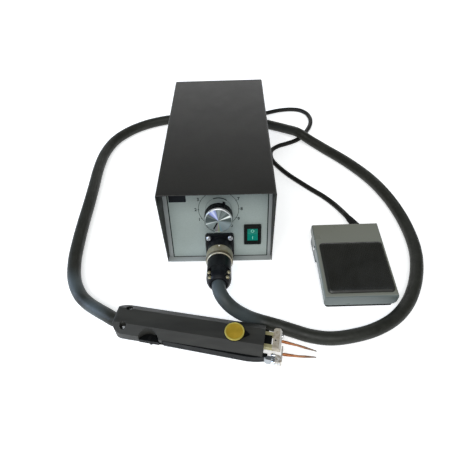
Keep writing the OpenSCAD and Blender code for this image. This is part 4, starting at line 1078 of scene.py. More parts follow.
@dataclass
class Cable:
    """A cable that lies on the bench: its route, size and finish.

    Its length is that of its free part, and exit_mm is where it leaves its seat. Each swell is a
    point of the route with the sheath's diameter there.
    """

    name: str
    node: str
    route: Points
    diameter_mm: float
    length_m: float
    exit_mm: Triple
    stiffness: Stiffness
    finish: Finish
    slot: Slot
    sides: int = 40
    swells: tuple[tuple[int, float], ...] = ()
    per_span: int = 8

    def radius_at(self, number: float) -> float:
        """Gives the sheath's radius at a place on the route.

        Args:
            number: The place, counted in the route's points.

        Returns:
            The radius in millimetres.
        """
        knots = self.swells or ((0, self.diameter_mm), (1, self.diameter_mm))
        low = max((k for k in knots if k[0] <= number), default=knots[0])
        high = min((k for k in knots if k[0] > number), default=low)
        share = 0.0 if high[0] == low[0] else (number - low[0]) / (high[0] - low[0])
        share = share * share * (3 - 2 * share)
        return (low[1] + (high[1] - low[1]) * share) / 2

    def build(self) -> None:
        line = smooth_through(self.route, self.per_span)
        radii = [self.radius_at(i / self.per_span) for i in range(len(line))]
        line = [(x, y, max(z, r)) for (x, y, z), r in zip(line, radii)]
        tube = along_curve(line, radii, self.sides)
        piece = new_piece(self.name, tube, Matrix.Identity(4), self.finish, smooth_deg=60)
        seat(piece, Body.ROOT, self.slot, self.node)


TONG_ROUTE: Points = [
    (-42.2, -116.96, 36.98), (-42.2, -128.66, 39.68), (-42.2, -134.5, 41), (-41.5, -142, 42.2),
    (-38.5, -149.5, 41.2), (-33, -155.5, 37), (-25.5, -159, 30), (-16.5, -160.3, 21.5),
    (-7, -160.8, 14), (3, -162, 9.4), (14, -165, 8.1), (27.5, -169.7, 8), (43, -175.8, 8),
    (59, -181.3, 8), (79, -184.3, 8), (102, -182, 8), (128.5, -175, 8), (153.5, -162.2, 8),
    (174.3, -143.2, 8), (191.2, -118, 8), (203.4, -90, 8), (210.8, -61, 8), (213, -30, 8), (211, 5, 8),
    (204, 42, 8), (190, 82, 8), (167, 122, 8), (139, 159, 8), (112, 187, 11.8), (92, 206, 16.4),
    (72, 226, 12), (46, 246, 8.2), (14, 262, 8), (-25, 271, 8), (-68, 276, 8), (-110, 277, 8),
    (-148, 272, 8), (-184, 258, 8), (-213, 236, 8), (-234, 206, 8), (-244, 168, 8), (-245.5, 126, 8),
    (-243, 84, 8), (-240.8, 42, 8), (-239.2, 2, 8), (-237, -34, 8), (-233.4, -68, 8), (-226, -98, 8),
    (-213.7, -120.5, 8.2), (-200, -134.5, 9.4), (-185.5, -145, 11.4), (-172, -153.5, 12.8),
    (-166, -157.3, 13.2), (-159.88, -160.41, 13.4), (-139.25, -164.31, 13.4),
]
# The extruded sheath is a little uneven: point of the route, diameter in millimetres
TONG_SWELLS = ((0, 15.6), (12, 15.4), (16, 15.2), (20, 15.6), (26, 16.4), (29, 16.0), (33, 16.8), (40, 17.0),
               (45, 17.2), (49, 16.2), (54, 15.8))
PEDAL_ROUTE: Points = [
    (-3, 207, 35), (-3, 222, 35), (-3, 231, 33.6), (-2, 241, 30), (2, 252, 25.5), (7, 262, 22),
    (14, 272, 18.6), (22, 281, 11.8), (32, 289, 6.8), (44, 295.5, 4.2), (56, 300.5, 3.8),
    (70, 304.8, 3.8), (89, 307, 3.8), (107, 303.5, 3.8), (119, 292, 3.8), (124, 276, 3.8),
    (123.5, 260, 3.8), (119, 244, 3.8), (111, 228, 3.8), (101, 212, 3.8), (88, 200, 3.8),
    (73, 192, 3.8), (56.5, 184.5, 3.8), (44.5, 173.5, 3.8), (41, 158.5, 3.8), (43.5, 142, 3.8),
    (52, 125, 3.8), (64, 106.5, 3.8), (79, 88, 3.8), (96, 68.5, 3.8), (112.6, 50, 3.9), (125, 31, 4.8),
    (131.9, 12.2, 8.4), (133.9, 3.28, 11.1), (136.61, -4.68, 12),
]


@dataclass
class Cables:
    """The heavy cable of the tongs, and the cable of the pedal that it passes over."""

    heavy: Cable = field(default_factory=lambda: Cable(
        "tong_cable_sheath", "tong_cable", TONG_ROUTE, 16.0, 1.44, (-42.2, -134.5, 41), Stiffness.MEDIUM,
        CABLE_RUBBER, Slot.CABLE, swells=TONG_SWELLS))
    light: Cable = field(default_factory=lambda: Cable(
        "pedal_cord_sheath", "pedal_cord", PEDAL_ROUTE, 7.5, 0.56, (-3, 222, 35), Stiffness.LIMP,
        CORD_RUBBER, Slot.CORD, sides=24))

    def build(self) -> None:
        """Lays both cables."""
        self.heavy.build()
        self.light.build()


# Control unit


@dataclass
class PanelGrooveShade:
    """A dark strip in the groove between the panel and its frame, open at the top: painted shade for the
    gap.
    """

    half_w: float = 60.85
    u: float = 0.6
    foot_v: float = 1.6
    top_v: float = 108.0
    wide: float = 1.3
    deep: float = 0.4
    rise: float = 0.15

    def build(self) -> None:
        """Lays the dark strip down both sides and along the foot."""
        mesh = bmesh.new()
        half = self.wide / 2
        for u0, u1, v0, v1 in ((-self.half_w - half, -self.half_w + half, self.foot_v, self.top_v),
                               (self.half_w - half, self.half_w + half, self.foot_v, self.top_v),
                               (-self.half_w, self.half_w, self.foot_v - half, self.foot_v + half)):
            add_box(mesh, (u0, v0, -self.deep), (u1, v1, self.rise))
        seat(new_piece("panel_groove_shade", mesh, PANEL.at(self.u, 0.0), GROOVE_SHADE_STRIP), Body.ROOT, Slot.PANEL)


@dataclass
class Dial:
    """The dial: its print on the panel, its fluted knob and the spun cap.

    The print is drawn a little thick and wide, because a real one is too fine to show. Where two
    prints cross, the upper one is thicker by the share that bold_over or mark_over names.
    """

    u: float = 1.4
    v: float = 72.7
    knob_d: float = 33.0
    knob_h: float = 27.0
    cap_t: float = 3.0
    rim: float = 1.5
    step: float = 0.45
    bore_r: float = 3.2
    hub_r: float = 7.5
    hub_h: float = 7.2
    skirt_l: float = 11.2
    skirt_over: float = 0.3
    flutes: int = 24
    flute_steps: int = 8
    flute_deep: float = 0.4
    nib_deg: float = 68.0
    nib_out: float = 2.2
    nib_in: float = 1.5
    nib_half: float = 1.7
    nib_t: float = 3.0
    line_deg: float = 242.0
    line_from: float = 3.4
    line_to: float = 13.0
    line_half: float = 0.9
    line_t: float = 0.12
    print_u: float = 1.0
    ring_r: float = 24.6
    ring_half: float = 0.3
    inner_r: float = 15.9
    inner_half: float = 0.25
    bold_half: float = 0.7
    bold_from_deg: float = 50.0
    bold_to_deg: float = 112.0
    mark_in: float = 0.9
    mark_out: float = 1.3
    mark_half: float = 0.3
    ink_t: float = 0.05
    bold_over: float = 1.5
    mark_over: float = 1.2
    first_deg: float = 240.0
    step_deg: float = 30.0
    last_number: int = 10
    number_h: float = 4.0
    number_gap: float = 3.5

    def build(self) -> None:
        """Builds the knob, the cap, its line, the ring, its marks and the numbers."""
        self.build_body()
        self.build_cap()
        self.build_print()

    def build_body(self) -> None:
        """Moulds the knob: a fluted skirt on a slim hub, with a pointer nib at the skirt's back edge."""
        top, skirt_r = self.knob_h - self.cap_t, self.knob_d / 2 + self.skirt_over
        low = top - self.skirt_l
        profile = [(self.bore_r, self.hub_h), (self.hub_r, self.hub_h), (self.hub_r, low),
                   (skirt_r - 0.5, low), (skirt_r, low + 0.5), (skirt_r, low + 1.5), (skirt_r, low + 2.0),
                   (skirt_r, top - 1.4), (skirt_r, top - 0.9), (skirt_r, top), (self.bore_r, top),
                   (self.bore_r, self.hub_h)]
        mesh = lathe(profile, steps=self.flutes * self.flute_steps)
        for vert in mesh.verts:
            flat, h = math.hypot(vert.co.x, vert.co.y), vert.co.z / MM
            if flat > (skirt_r - 0.1) * MM and low + 1.8 < h < top - 1.2:
                turn = math.atan2(vert.co.y, vert.co.x)
                deep = self.flute_deep * MM * max(0.0, math.cos(turn * self.flutes)) ** 2
                squeeze(vert, 1 - deep / flat)
        weld(mesh)
        seat(new_piece("knob_body_fluted", mesh, PANEL.at(self.u, self.v), KNOB_PLASTIC, smooth_deg=30),
             Body.DIAL, Slot.KNOB, "knob_body")
        nib = bmesh.new()
        add_bar(nib, skirt_r - self.nib_in, skirt_r + self.nib_out, self.nib_half, self.nib_t, self.nib_deg)
        seat(new_piece("knob_nib", nib, PANEL.at(self.u, self.v, low), KNOB_PLASTIC), Body.DIAL, Slot.KNOB)

    def build_cap(self) -> None:
        """Turns the aluminium cap: a spun face with painted rays inside a raised rim with a painted
        highlight, with a black line.
        """
        r, t, face = self.knob_d / 2, self.cap_t, self.knob_d / 2 - self.rim
        # The turned face is dished by some hundredths of a millimetre
        profile = [(0, 0.2), (face, 0.2), (face, t - self.step), (face * 0.6, t - self.step - 0.05),
                   (face * 0.25, t - self.step - 0.02), (0, t - self.step)]
        at = PANEL.at(self.u, self.v, self.knob_h - t)
        seat(new_piece("knob_cap_spun", lathe(profile, steps=128), at, SPUN_ALUMINIUM, smooth_deg=25),
             Body.DIAL, Slot.KNOB_CAP, "knob_cap")
        edge = [(face, 0), (r, 0), (r, t - 0.8), (r - 0.1, t - 0.45), (r - 0.3, t - 0.15), (r - 0.6, t),
                (face + 0.35, t), (face + 0.1, t - 0.15), (face, t - 0.4), (face, 0)]
        seat(new_piece("knob_cap_rim", lathe(edge, steps=128), at, POLISHED_RIM, smooth_deg=30),
             Body.DIAL, Slot.KNOB_CAP)
        bar = bmesh.new()
        add_bar(bar, self.line_from, self.line_to, self.line_half, self.line_t, self.line_deg)
        at = PANEL.at(self.u, self.v, self.knob_h - self.step - self.line_t / 2)
        seat(new_piece("knob_pointer_line", bar, at, KNOB_PLASTIC), Body.DIAL, Slot.KNOB)

    def build_print(self) -> None:
        """Prints the rings, a mark at each number, and the numbers 0 to 10."""
        at = PANEL.at(self.print_u, self.v)
        last_deg = self.first_deg - self.last_number * self.step_deg
        ring = flat_ring(self.ring_r - self.ring_half, self.ring_r + self.ring_half, last_deg,
                         self.first_deg, self.ink_t, steps=160)
        seat(new_piece("dial_ring_print", ring, at, DIAL_INK), Body.ROOT, Slot.PANEL)
        faint = flat_ring(self.inner_r - self.inner_half, self.inner_r + self.inner_half, 0, 360,
                          self.ink_t, steps=128)
        seat(new_piece("dial_inner_print", faint, at, FAINT_INK), Body.ROOT, Slot.PANEL)
        bold = flat_ring(self.inner_r - self.bold_half, self.inner_r + self.bold_half,
                         self.bold_from_deg, self.bold_to_deg, self.ink_t * self.bold_over, steps=48)
        seat(new_piece("dial_inner_bold", bold, at, DIAL_INK), Body.ROOT, Slot.PANEL)
        marks = bmesh.new()
        for number in range(self.last_number + 1):
            add_bar(marks, self.ring_r - self.mark_in, self.ring_r + self.mark_out, self.mark_half,
                    self.ink_t * self.mark_over, self.first_deg - number * self.step_deg)
        seat(new_piece("dial_marks", marks, at, DIAL_INK), Body.ROOT, Slot.PANEL)
        for number in range(self.last_number + 1):
            self.build_number(number)

    def build_number(self, number: int) -> None:
        """Prints one number upright beside its mark.

        Args:
            number: The number.
        """
        a = math.radians(self.first_deg - number * self.step_deg)
        r = self.ring_r + self.number_gap
        drawn = figure(str(number), self.number_h, self.ink_t)
        piece = bpy.data.objects.new(f"dial_number_{number}", drawn)
        bpy.context.scene.collection.objects.link(piece)
        drawn.materials.append(DIAL_INK.material())
        piece.matrix_world = PANEL.at(self.print_u + r * math.cos(a), self.v + r * math.sin(a),
                                      self.ink_t / 2)
        seat(piece, Body.ROOT, Slot.PANEL)


@dataclass
class Rocker:
    """The pale marks on the switch's green lens."""

    u: float = 42.6
    v: float = 35.4
    axis_h: float = -0.4
    tilt_deg: float = 7.0
    rise: float = 1.6 / 11.6
    lens_h: float = 1.55
    ring_v: float = 4.9
    ring_in: float = 1.5
    ring_out: float = 2.1
    bar_v: float = -4.6
    bar_l: float = 1.9
    bar_half: float = 0.32
    ink_t: float = 0.06

    def mark_place(self, v: float) -> Matrix:
        """Gives the place of a mark on the lens, whose two halves rise away from the middle.

        Args:
            v: Distance up the rocker from its middle, in millimetres.

        Returns:
            The place, its third direction square to the lens.
        """
        tilt = Matrix.Rotation(math.radians(-self.tilt_deg), 4, "X")
        lean = Matrix.Rotation(math.atan(self.rise) * (1 if v > 0 else -1), 4, "X")
        lift = Matrix.Translation(Vector((0, v, self.lens_h + self.rise * abs(v))) * MM)
        return PANEL.at(self.u, self.v, self.axis_h) @ tilt @ lift @ lean

    def build(self) -> None:
        """Prints the ring on the upper half and the bar on the lower half."""
        ring = flat_ring(self.ring_in, self.ring_out, 0, 360, self.ink_t, steps=40)
        seat(new_piece("rocker_off_mark", ring, self.mark_place(self.ring_v), LENS_MARK), Body.ROCKER,
             Slot.LENS)
        bar = bmesh.new()
        add_bar(bar, -self.bar_l, self.bar_l, self.bar_half, self.ink_t, turn=90)
        seat(new_piece("rocker_on_mark", bar, self.mark_place(self.bar_v), LENS_MARK), Body.ROCKER,
             Slot.LENS)


@dataclass
class Coupling:
    """The knurled coupling ring of the plug and its white place mark.

    The real knurl has about 130 diamonds, too fine to show, so half as many are cut.
    """

    u: float = 0.8
    v: float = 20.0
    bore: float = 28.1
    diameter: float = 33.3
    low: float = 22.0
    high: float = 38.5
    chamfer_h: float = 35.5
    front_r: float = 14.9
    lip_h: float = 31.2
    neck: float = 24.1
    diamonds: int = 66
    diamond_steps: int = 4
    knurl: float = 0.35
    dot_h: float = 25.2
    dot_r: float = 1.0

    def build(self) -> None:
        """Cuts the knurled ring, paints its front chamfer darker as shade, caps its front with a rim painted
        as a highlight and puts the dot on its top.
        """
        at = PANEL.at(self.u, self.v)
        ring = new_piece("coupling_ring_knurled", self.cut_ring(), at, WORN_NICKEL, smooth_deg=28)
        # The front chamfer takes a darker copy of the nickel: painted shade
        ring.data.materials.append(SHADED_NICKEL.material())
        for face in ring.data.polygons:
            if face.center.z > (self.chamfer_h - 0.3) * MM:
                face.material_index = 1
        seat(ring, Body.COUPLING, Slot.RING, "coupling_ring")
        # The front rim, nearly white all round: a painted highlight
        rim = lathe([(self.front_r - 0.2, self.high - 1.0), (self.front_r + 0.6, self.high - 1.0),
                     (self.front_r + 0.5, self.high - 0.5), (self.front_r + 0.3, self.high - 0.1),
                     (self.front_r, self.high), (self.front_r - 0.2, self.high - 0.2),
                     (self.front_r - 0.2, self.high - 1.0)], steps=128)
        seat(new_piece("coupling_front_rim", rim, at, HIGHLIGHT_NICKEL), Body.COUPLING, Slot.RING)
        # The white dot glows a little: painted light
        dot = lathe([(0, -0.3), (self.dot_r, -0.3), (self.dot_r, 0.12), (self.dot_r * 0.7, 0.2),
                     (0, 0.24)], steps=32)
        on_top = (PANEL.at(self.u, self.v + self.diameter / 2 - self.knurl, self.dot_h)
                  @ Matrix.Rotation(-math.pi / 2, 4, "X"))
        seat(new_piece("coupling_dot", dot, on_top, GLOWING_WHITE_PAINT), Body.COUPLING, Slot.RING)

    def cut_ring(self) -> bmesh.types.BMesh:
        """Turns the ring and cuts its knurl, with a smooth spot under the dot.

        Returns:
            The drawn faces.
        """
        r = self.diameter / 2
        pitch = math.pi * self.diameter / self.diamonds
        k0, k1 = self.low + 1.2, self.chamfer_h - 0.9
        rows = round((k1 - k0) / pitch * self.diamond_steps)
        heights = [k0 + (k1 - k0) * i / rows for i in range(rows + 1)]
        profile = ([(self.neck / 2, self.lip_h), (self.bore / 2, self.lip_h), (self.bore / 2, self.low),
                    (r - 0.8, self.low), (r - self.knurl, self.low + 0.7)]
                   + [(r - self.knurl, h) for h in heights]
                   + [(r - self.knurl, self.chamfer_h - 0.8), (r, self.chamfer_h - 0.5), (r, self.chamfer_h),
                      (self.front_r + 0.7, self.high - 0.9), (self.front_r + 0.2, self.high - 0.5),
                      (self.neck / 2, self.high - 0.5), (self.neck / 2, self.lip_h)])
        mesh = lathe(profile, steps=self.diamonds * self.diamond_steps)
        for vert in mesh.verts:
            h = vert.co.z / MM
            flat = math.hypot(vert.co.x, vert.co.y)
            if not (k0 < h < k1 and flat > (r - 1) * MM):
                continue
            turn = math.atan2(vert.co.y, vert.co.x)
            if math.hypot((turn - math.pi / 2) * r, h - self.dot_h) < self.dot_r + 0.5:
                continue
            lift = self.knurl * knurl_height(turn * self.diamonds / (2 * math.pi), (h - k0) / pitch)
            squeeze(vert, 1 + lift * MM / flat)
        weld(mesh)
        return mesh


def knurl_height(across: float, along: float) -> float:
    """Gives the height of a diamond knurl, 0 in its grooves and 1 on its points.

    Args:
        across: Distance round the ring, in diamonds.
        along: Distance along the ring, in diamonds.

    Returns:
        The share of the knurl's full height.
    """
    one = abs(((across + along) % 1) * 2 - 1)
    two = abs(((across - along) % 1) * 2 - 1)
    return 1 - max(one, two) ** 1.5


# Tongs

# How thick a hand-filed electrode is: share of its length, share of the rod's thickness
TAPER_KNOTS = [(0.0, 1.22), (0.22, 1.1), (0.45, 0.84), (0.66, 0.92), (0.84, 0.66), (1.0, 0.4)]


@dataclass
class Electrode:
    """One bent copper electrode, straight in its clamp and tapered to a fine tip.

    Sizes along the grip are named s, sizes across it p, both in millimetres. The rod bends over
    the first share of its length, bend; of that way sideways the part even_share runs evenly, and
    the rest eases in and out.
    """

    name: str
    node: str
    body: Body
    seat_s: float
    face_s: float
    p: float
    mid_p: float
    tip_p: float
    tip_s: float
    z: float = 13.5
    diameter: float = 2.8
    bend: float = 0.47
    even_share: float = 0.65
    steps: int = 24
    sides: int = 28
    tip_l: float = 0.3
    tip_r_share: float = 0.15

    def build(self) -> None:
        """Draws the rod along its bend, in a frame whose X runs along the grip."""
        length = self.tip_s - self.face_s
        points = [(self.seat_s - self.face_s, 0.0, 0.0), (0.0, 0.0, 0.0)]
        radii = [self.diameter / 2] * 2
        for i in range(1, self.steps + 1):
            share = i / self.steps
            points.append((share * length, self.offset(share), 0.0))
            radii.append(self.diameter / 2 * self.taper(share))
        points.append((length + self.tip_l, self.offset(1.0), 0.0))
        radii.append(self.diameter * self.tip_r_share)
        rod = along_curve(points, radii, self.sides)
        piece = new_piece(self.name, rod, GRIP.at(self.face_s, self.p, self.z), HEATED_COPPER,
                          smooth_deg=40)
        seat(piece, self.body, Slot.COPPER, self.node)

    def taper(self, share: float) -> float:
        """Gives the rod's thickness: filed by hand, so a little uneven.

        Args:
            share: Share of its free length.

        Returns:
            Share of the rod's full thickness.
        """
        for (s0, t0), (s1, t1) in zip(TAPER_KNOTS, TAPER_KNOTS[1:]):
            if share <= s1:
                return t0 + (t1 - t0) * (share - s0) / (s1 - s0)
        return TAPER_KNOTS[-1][1]

    def offset(self, share: float) -> float:
        """Gives the sideways place of the rod's middle, which bends once and then runs straight.

        Args:
            share: Share of its free length.

        Returns:
            Distance from its line in the clamp, in millimetres.
        """
        mid, tip = self.mid_p - self.p, self.tip_p - self.p
        ease = min(share / self.bend, 1)
        eased = mid * ease * ease * (3 - 2 * ease) * (1 - self.even_share)
        first = eased + mid * ease * self.even_share
        if share <= self.bend:
            return first
        return mid + (tip - mid) * (share - self.bend) / (1 - self.bend)


@dataclass
class Coil:
    """A coil spring, wound at its full height."""

    name: str
    node: str
    place: Matrix
    radius: float
    wire: float
    height: float
    joint: str
    keep: float
    turns: int = 5
    steps: int = 28
    sides: int = 12

    def build(self) -> None:
        """Winds the wire and gives the piece a mesh of its own."""
        rise = self.height - self.wire
        points = []
        for i in range(self.turns * self.steps + 1):
            a = 2 * math.pi * i / self.steps
            points.append((self.radius * math.cos(a), self.radius * math.sin(a),
                           self.wire / 2 + rise * i / (self.turns * self.steps)))
        wound = along_curve(points, [self.wire / 2] * len(points), self.sides)
        piece = new_piece(self.name, wound, self.place, SPRING_WIRE, smooth_deg=60)
        seat(piece, Body.ROOT, Slot.SPRING, self.node)
        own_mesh(piece)


@dataclass
class Tongs:
    """The hand-held tongs: electrodes, return spring, nose, a black plug as painted shade in the clamp's
    hole, and the cap of the force knob.

    Each electrode's row gives its sideways place in the clamp, at its bend and at its tip.
    """

    grip_l: float = 168.0
    bar_s: float = 176.8
    bar_t: float = 9.2
    plate_s: float = 186.9
    plate_t: float = 1.4
    seat_l: float = 7.2
    tip_s: float = 223.0
    fixed_ps: Triple = (5.4, 3.6, 0.4)
    moving_ps: Triple = (-9.2, -8.6, -6.4)
    spring_at: Triple = (106.0, -5.5, 12.85)
    shade_plug_at: Triple = (179.6, 3.6, 15.2)
    shade_plug_r: float = 1.05
    shade_plug_l: float = 1.1
    nose: tuple[tuple[Triple, Triple], ...] = (
        ((-1.0, -1.8, 9.0), (7.8, 8.4, 16.6)),
        ((-1.0, 12.7, 9.0), (3.6, 15.2, 16.6)),
    )
    force_s: float = 136.0
    force_p: float = -0.4
    cap_z: float = 29.1
    cap_d: float = 21.0
    cap_t: float = 1.7
    rim: float = 1.5

    def build(self) -> None:
        """Builds the pieces that the CAD solids only stand in for."""
        front = self.bar_s + self.bar_t
        Electrode("fixed_electrode_rod", "fixed_electrode", Body.ROOT, front - self.seat_l, front,
                  *self.fixed_ps, self.tip_s).build()
        Electrode("moving_electrode_rod", "moving_electrode", Body.LEVER, self.plate_s,
                  self.plate_s + self.plate_t, *self.moving_ps, self.tip_s).build()
        at = GRIP.at(*self.spring_at) @ Matrix.Rotation(math.pi / 2, 4, "X")
        Coil("return_spring_coil", "return_spring", at, radius=2.6, wire=0.9, height=9.7,
             joint="lever_close", keep=0.815).build()
        self.build_cap()
        self.build_nose()
        self.build_hole_shade()

    def build_hole_shade(self) -> None:
        """Sinks a black plug in the fixed clamp's hole: painted shade for its dark inside."""
        # A black plug sunk in the hole: painted shade for its dark inside
        screw = lathe([(0, 0), (self.shade_plug_r, 0), (self.shade_plug_r, self.shade_plug_l), (0, self.shade_plug_l)],
                      steps=32)
        seat(new_piece("clamp_hole_shade", screw, GRIP.at(*self.shade_plug_at), KNOB_PLASTIC), Body.ROOT,
             Slot.SCREW)

    def build_nose(self) -> None:
        """Adds two black blocks at the grip's front end, round the posts."""
        mesh = bmesh.new()
        for low, high in self.nose:
            add_box(mesh, low, high)
        seat(new_piece("grip_nose", mesh, GRIP.at(self.grip_l, 0.0), LEVER_LAMINATE), Body.ROOT, Slot.GRIP)

    def build_cap(self) -> None:
        """Turns the ochre cap: a flat dish inside a paler rounded rim."""
        r, t, dish = self.cap_d / 2, self.cap_t, self.cap_d / 2 - self.rim
        at = GRIP.at(self.force_s, self.force_p, self.cap_z)
        profile = [(0, 0), (dish, 0), (dish, t - 0.3), (dish - 0.8, t - 0.38), (r * 0.4, t - 0.3),
                   (0, t - 0.28)]
        seat(new_piece("force_knob_cap_moulded", lathe(profile), at, OCHRE_CAP, smooth_deg=50),
             Body.FORCE, Slot.FORCE_CAP, "force_knob_cap")
        edge = [(dish, 0), (r - 0.25, 0), (r, 0.3), (r, t - 0.5), (r - 0.2, t - 0.12), (r - 0.55, t),
                (r - 0.95, t - 0.06), (dish, t - 0.25), (dish, 0)]
        seat(new_piece("force_knob_cap_rim", lathe(edge), at, OCHRE_RIM, smooth_deg=50), Body.FORCE,
             Slot.FORCE_CAP)


# Pedal


@dataclass
class Pedal:
    """The pedal's ribbed mat and its return spring.

    The mat's corners stand close together where its top bends: rib_edges are shares of the pitch,
    side_edges distances from its side in millimetres, end_shares shares of its length.
    """

    mat_u0: float = 4.4
    mat_u1: float = 81.7
    mat_v0: float = 4.6
    mat_v1: float = 74.2
    mat_t: float = 3.4
    corner: float = 4.5
    bevel: float = 1.9
    bevel_h: float = 1.5
    rib_pitch: float = 2.1
    rib_h: float = 0.45
    rib_half: float = 0.22
    rib_edges: tuple[float, ...] = (-0.34, -0.2, 0.2, 0.34)
    side_edges: tuple[float, ...] = (0.35, 0.9, 1.8)
    end_shares: tuple[float, ...] = (0.0, 0.006, 0.016, 0.03, 0.05)
    inner_steps: int = 14
    spring_at: Triple = (26.0, 24.0, 3.6)

    def build(self) -> None:
        """Builds the mat and the spring under the treadle."""
        self.build_mat()
        Coil("treadle_spring_coil", "treadle_spring", PEDAL.at(*self.spring_at), radius=5.0, wire=1.2,
             height=18.15, joint="treadle_press", keep=0.83).build()

    def columns(self, wide: float) -> list[float]:
        """Gives where the mat's corners stand across it: close together at its sides and at each rib.

        Args:
            wide: The mat's width, in millimetres.

        Returns:
            Distances from its middle line, in millimetres, in order.
        """
        half = wide / 2
        made = [-half] + [-half + gap for gap in self.side_edges]
        count = int((wide - 2 * (self.bevel + 0.4)) / self.rib_pitch)
        first = -count * self.rib_pitch / 2
        for k in range(count + 1):
            for shift in self.rib_edges:
                made.append(first + (k + shift) * self.rib_pitch)
        made += [half - gap for gap in reversed(self.side_edges)] + [half]
        return sorted(c for c in made if abs(c) <= half)

    def rows(self) -> list[float]:
        """Gives where the mat's corners stand along it: close together at its ends.

        Returns:
            Shares of its length, in order.
        """
        first = self.end_shares[-1]
        inner = [first + (1 - 2 * first) * i / self.inner_steps for i in range(1, self.inner_steps)]
        return [*self.end_shares, *inner, *(1 - share for share in reversed(self.end_shares))]

    def build_mat(self) -> None:
        """Moulds the mat as one closed mesh: ribs on top, a bevel all round, a flat underside."""
        wide, long = self.mat_u1 - self.mat_u0, self.mat_v1 - self.mat_v0
        columns = self.columns(wide)
        shares = self.rows()
        mesh = bmesh.new()
        top, low = [], []
        for x in columns:
            reach = self.reach(x, wide, long)
            line = [(x, -reach + 2 * reach * s) for s in shares]
            top.append([mesh.verts.new((u * MM, v * MM, self.top_at(u, v, wide, long) * MM))
                        for u, v in line])
            low.append([mesh.verts.new((u * MM, v * MM, 0.0)) for u, v in line])
        last = len(shares) - 1
        for i in range(len(columns) - 1):
            for j in range(last):
                mesh.faces.new((top[i][j], top[i + 1][j], top[i + 1][j + 1], top[i][j + 1]))
                mesh.faces.new((low[i][j], low[i][j + 1], low[i + 1][j + 1], low[i + 1][j]))
            for j in (0, last):
                mesh.faces.new((top[i][j], low[i][j], low[i + 1][j], top[i + 1][j]))
        for i in (0, len(columns) - 1):
            for j in range(last):
                mesh.faces.new((top[i][j], top[i][j + 1], low[i][j + 1], low[i][j]))
        place = TREADLE.at((self.mat_u0 + self.mat_u1) / 2, (self.mat_v0 + self.mat_v1) / 2)
        seat(new_piece("treadle_mat_ribbed", mesh, place, MAT_RUBBER, smooth_deg=24), Body.TREADLE,
             Slot.MAT, "treadle_mat")

    def reach(self, x: float, wide: float, long: float) -> float:
        """Gives half the mat's length, less at its round corners.

        Args:
            x: Distance from its middle line, in millimetres.
            wide: The mat's width, in millimetres.
            long: The mat's length, in millimetres.

        Returns:
            Half the length there, in millimetres.
        """
        past = abs(x) - (wide / 2 - self.corner)
        if past <= 0:
            return long / 2
        return long / 2 - self.corner + math.sqrt(max(0.0, self.corner**2 - past**2))

    def top_at(self, x: float, y: float, wide: float, long: float) -> float:
        """Gives the height of the mat's top: the bevel near its edge, ribs inside it.

        Args:
            x: Distance from the middle across the mat, in millimetres.
            y: Distance from the middle along it, in millimetres.
            wide: The mat's width, in millimetres.
            long: The mat's length, in millimetres.

        Returns:
            The height above the treadle, in millimetres.
        """
        px, py = abs(x) - (wide / 2 - self.corner), abs(y) - (long / 2 - self.corner)
        inside = self.corner - (math.hypot(max(px, 0), max(py, 0)) if max(px, py) > 0 else max(px, py))
        skirt = self.mat_t - self.bevel_h
        if inside < self.bevel + 0.3:
            return skirt + (self.bevel_h - self.rib_h) * min(1, inside / self.bevel)
        phase = (x / self.rib_pitch) % 1
        on_rib = min(phase, 1 - phase) < self.rib_half
        return self.mat_t - self.rib_h + self.rib_h * on_rib


# Camera and studio


@dataclass(frozen=True)
class PhotoCamera:
    """The camera of the photograph: where it stands and how it is turned."""

    place_mm: Triple = (-23.1, -396.6, 408.5)
    yaw_deg: float = -1.95
    down_deg: float = 45.9
    roll_deg: float = -2.61
    lens_mm: float = 31.73
    sensor_mm: float = 36.0
    near_m: float = 0.02
    far_m: float = 30.0

    def build(self) -> None:
        """Puts the camera in the scene."""
        yaw, down, roll = (math.radians(a) for a in (self.yaw_deg, self.down_deg, self.roll_deg))
        level = Vector((math.sin(yaw), math.cos(yaw), 0))
        right = Vector((math.cos(yaw), -math.sin(yaw), 0))
        ahead = level * math.cos(down) - Vector((0, 0, math.sin(down)))
        up = Vector((0, 0, math.cos(down))) + level * math.sin(down)
        side = right * math.cos(roll) + up * math.sin(roll)
        top = up * math.cos(roll) - right * math.sin(roll)
        data = bpy.data.cameras.new("photo_camera")
        data.lens, data.sensor_width, data.sensor_fit = self.lens_mm, self.sensor_mm, "HORIZONTAL"
        data.clip_start, data.clip_end = self.near_m, self.far_m
        camera = bpy.data.objects.new("photo_camera", data)
        turn = Matrix([side, top, -ahead]).transposed().to_4x4()
        camera.matrix_world = Matrix.Translation(Vector(self.place_mm) * MM) @ turn
        bpy.context.scene.collection.objects.link(camera)
        bpy.context.scene.camera = camera


@dataclass(frozen=True)
class Softbox:
    """A soft area lamp that faces a point of the object. Places and sizes are in metres."""

    name: str
    place: Triple
    size: tuple[float, float]
    watts: float
    colour: str = "#ffffff"
    target: Triple = (0.0, 0.0, 0.05)

    def build(self) -> None:
        """Hangs the lamp."""
        data = bpy.data.lights.new(self.name, "AREA")
        data.shape, data.size, data.size_y = "RECTANGLE", *self.size
        data.energy, data.color = self.watts, linear(self.colour)[:3]
        lamp = bpy.data.objects.new(self.name, data)
        ahead = Vector(self.target) - Vector(self.place)
        turn = ahead.to_track_quat("-Z", "Y").to_matrix().to_4x4()
        lamp.matrix_world = Matrix.Translation(self.place) @ turn
        bpy.context.scene.collection.objects.link(lamp)


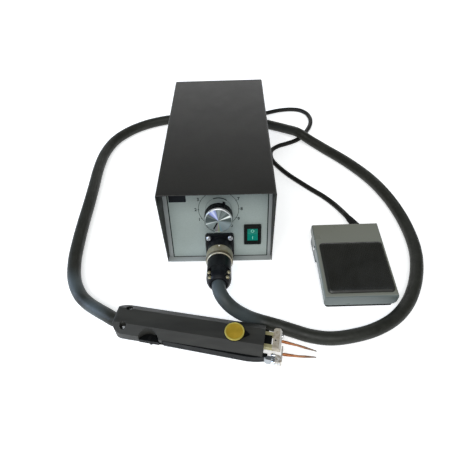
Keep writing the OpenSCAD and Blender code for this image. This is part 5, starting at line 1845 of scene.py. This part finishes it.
# White paper, lit evenly: a floor that is nearly white and still takes a soft shadow
PAPER = LitFinish("pale paper", "#f4f5f5", "#f4f5f5", 0.85, specular=0.1, grain_depth_mm=0.0,
                  edge_mm=0.01, glow=0.62)


@dataclass
class Studio:
    """A pale floor under soft light from the front, from a window on the left and from a far wall.

    The sky lights the object weakly, but the camera sees it bright, as white as a paper background.
    """

    half_m: float = 4.0
    floor_drop_m: float = 0.0002
    sky: str = "#e8eef2"
    sky_strength: float = 0.2
    sky_seen: float = 1.1
    lamps: tuple[Softbox, ...] = (
        Softbox("front_sky", (-0.3, -1.5, 2.05), (2.2, 1.4), 44),
        Softbox("window_left", (-1.9, -0.3, 0.7), (1.2, 0.9), 24, "#cbdeff"),
        Softbox("far_wall", (0.2, 2.4, 0.78), (3.2, 0.55), 17),
    )

    def build(self) -> None:
        """Lays the floor, sets the background and hangs the lamps."""
        mesh = bmesh.new()
        bmesh.ops.create_grid(mesh, x_segments=2, y_segments=2, size=self.half_m)
        floor = new_piece("floor", mesh, Matrix.Translation((0, 0, -self.floor_drop_m)), PAPER)
        world = bpy.data.worlds.new("studio")
        world.use_nodes = True
        back = world.node_tree.nodes["Background"]
        back.inputs["Color"].default_value = linear(self.sky)
        path = add(world.node_tree, "ShaderNodeLightPath")
        seen = add(world.node_tree, "ShaderNodeMapRange", {Span.VALUE: path.outputs["Is Camera Ray"],
                                                           Span.TO_MIN: self.sky_strength,
                                                           Span.TO_MAX: self.sky_seen})
        world.node_tree.links.new(seen.outputs[0], back.inputs["Strength"])
        bpy.context.scene.world = world
        bpy.context.scene.view_settings.view_transform = "Standard"
        for lamp in self.lamps:
            lamp.build()


def main() -> None:
    """Builds the looks in order."""
    logging.basicConfig(level=logging.INFO, format="%(message)s")
    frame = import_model()
    PhotoCamera().build()
    Cables().build()
    Studio().build()
    dress_nodes(frame["nodes"])
    for part in (PanelGrooveShade(), Dial(), Rocker(), Coupling(), Tongs(), Pedal()):
        part.build()
        LOG.info("%s done", type(part).__name__)


if __name__ == "__main__":
    main()
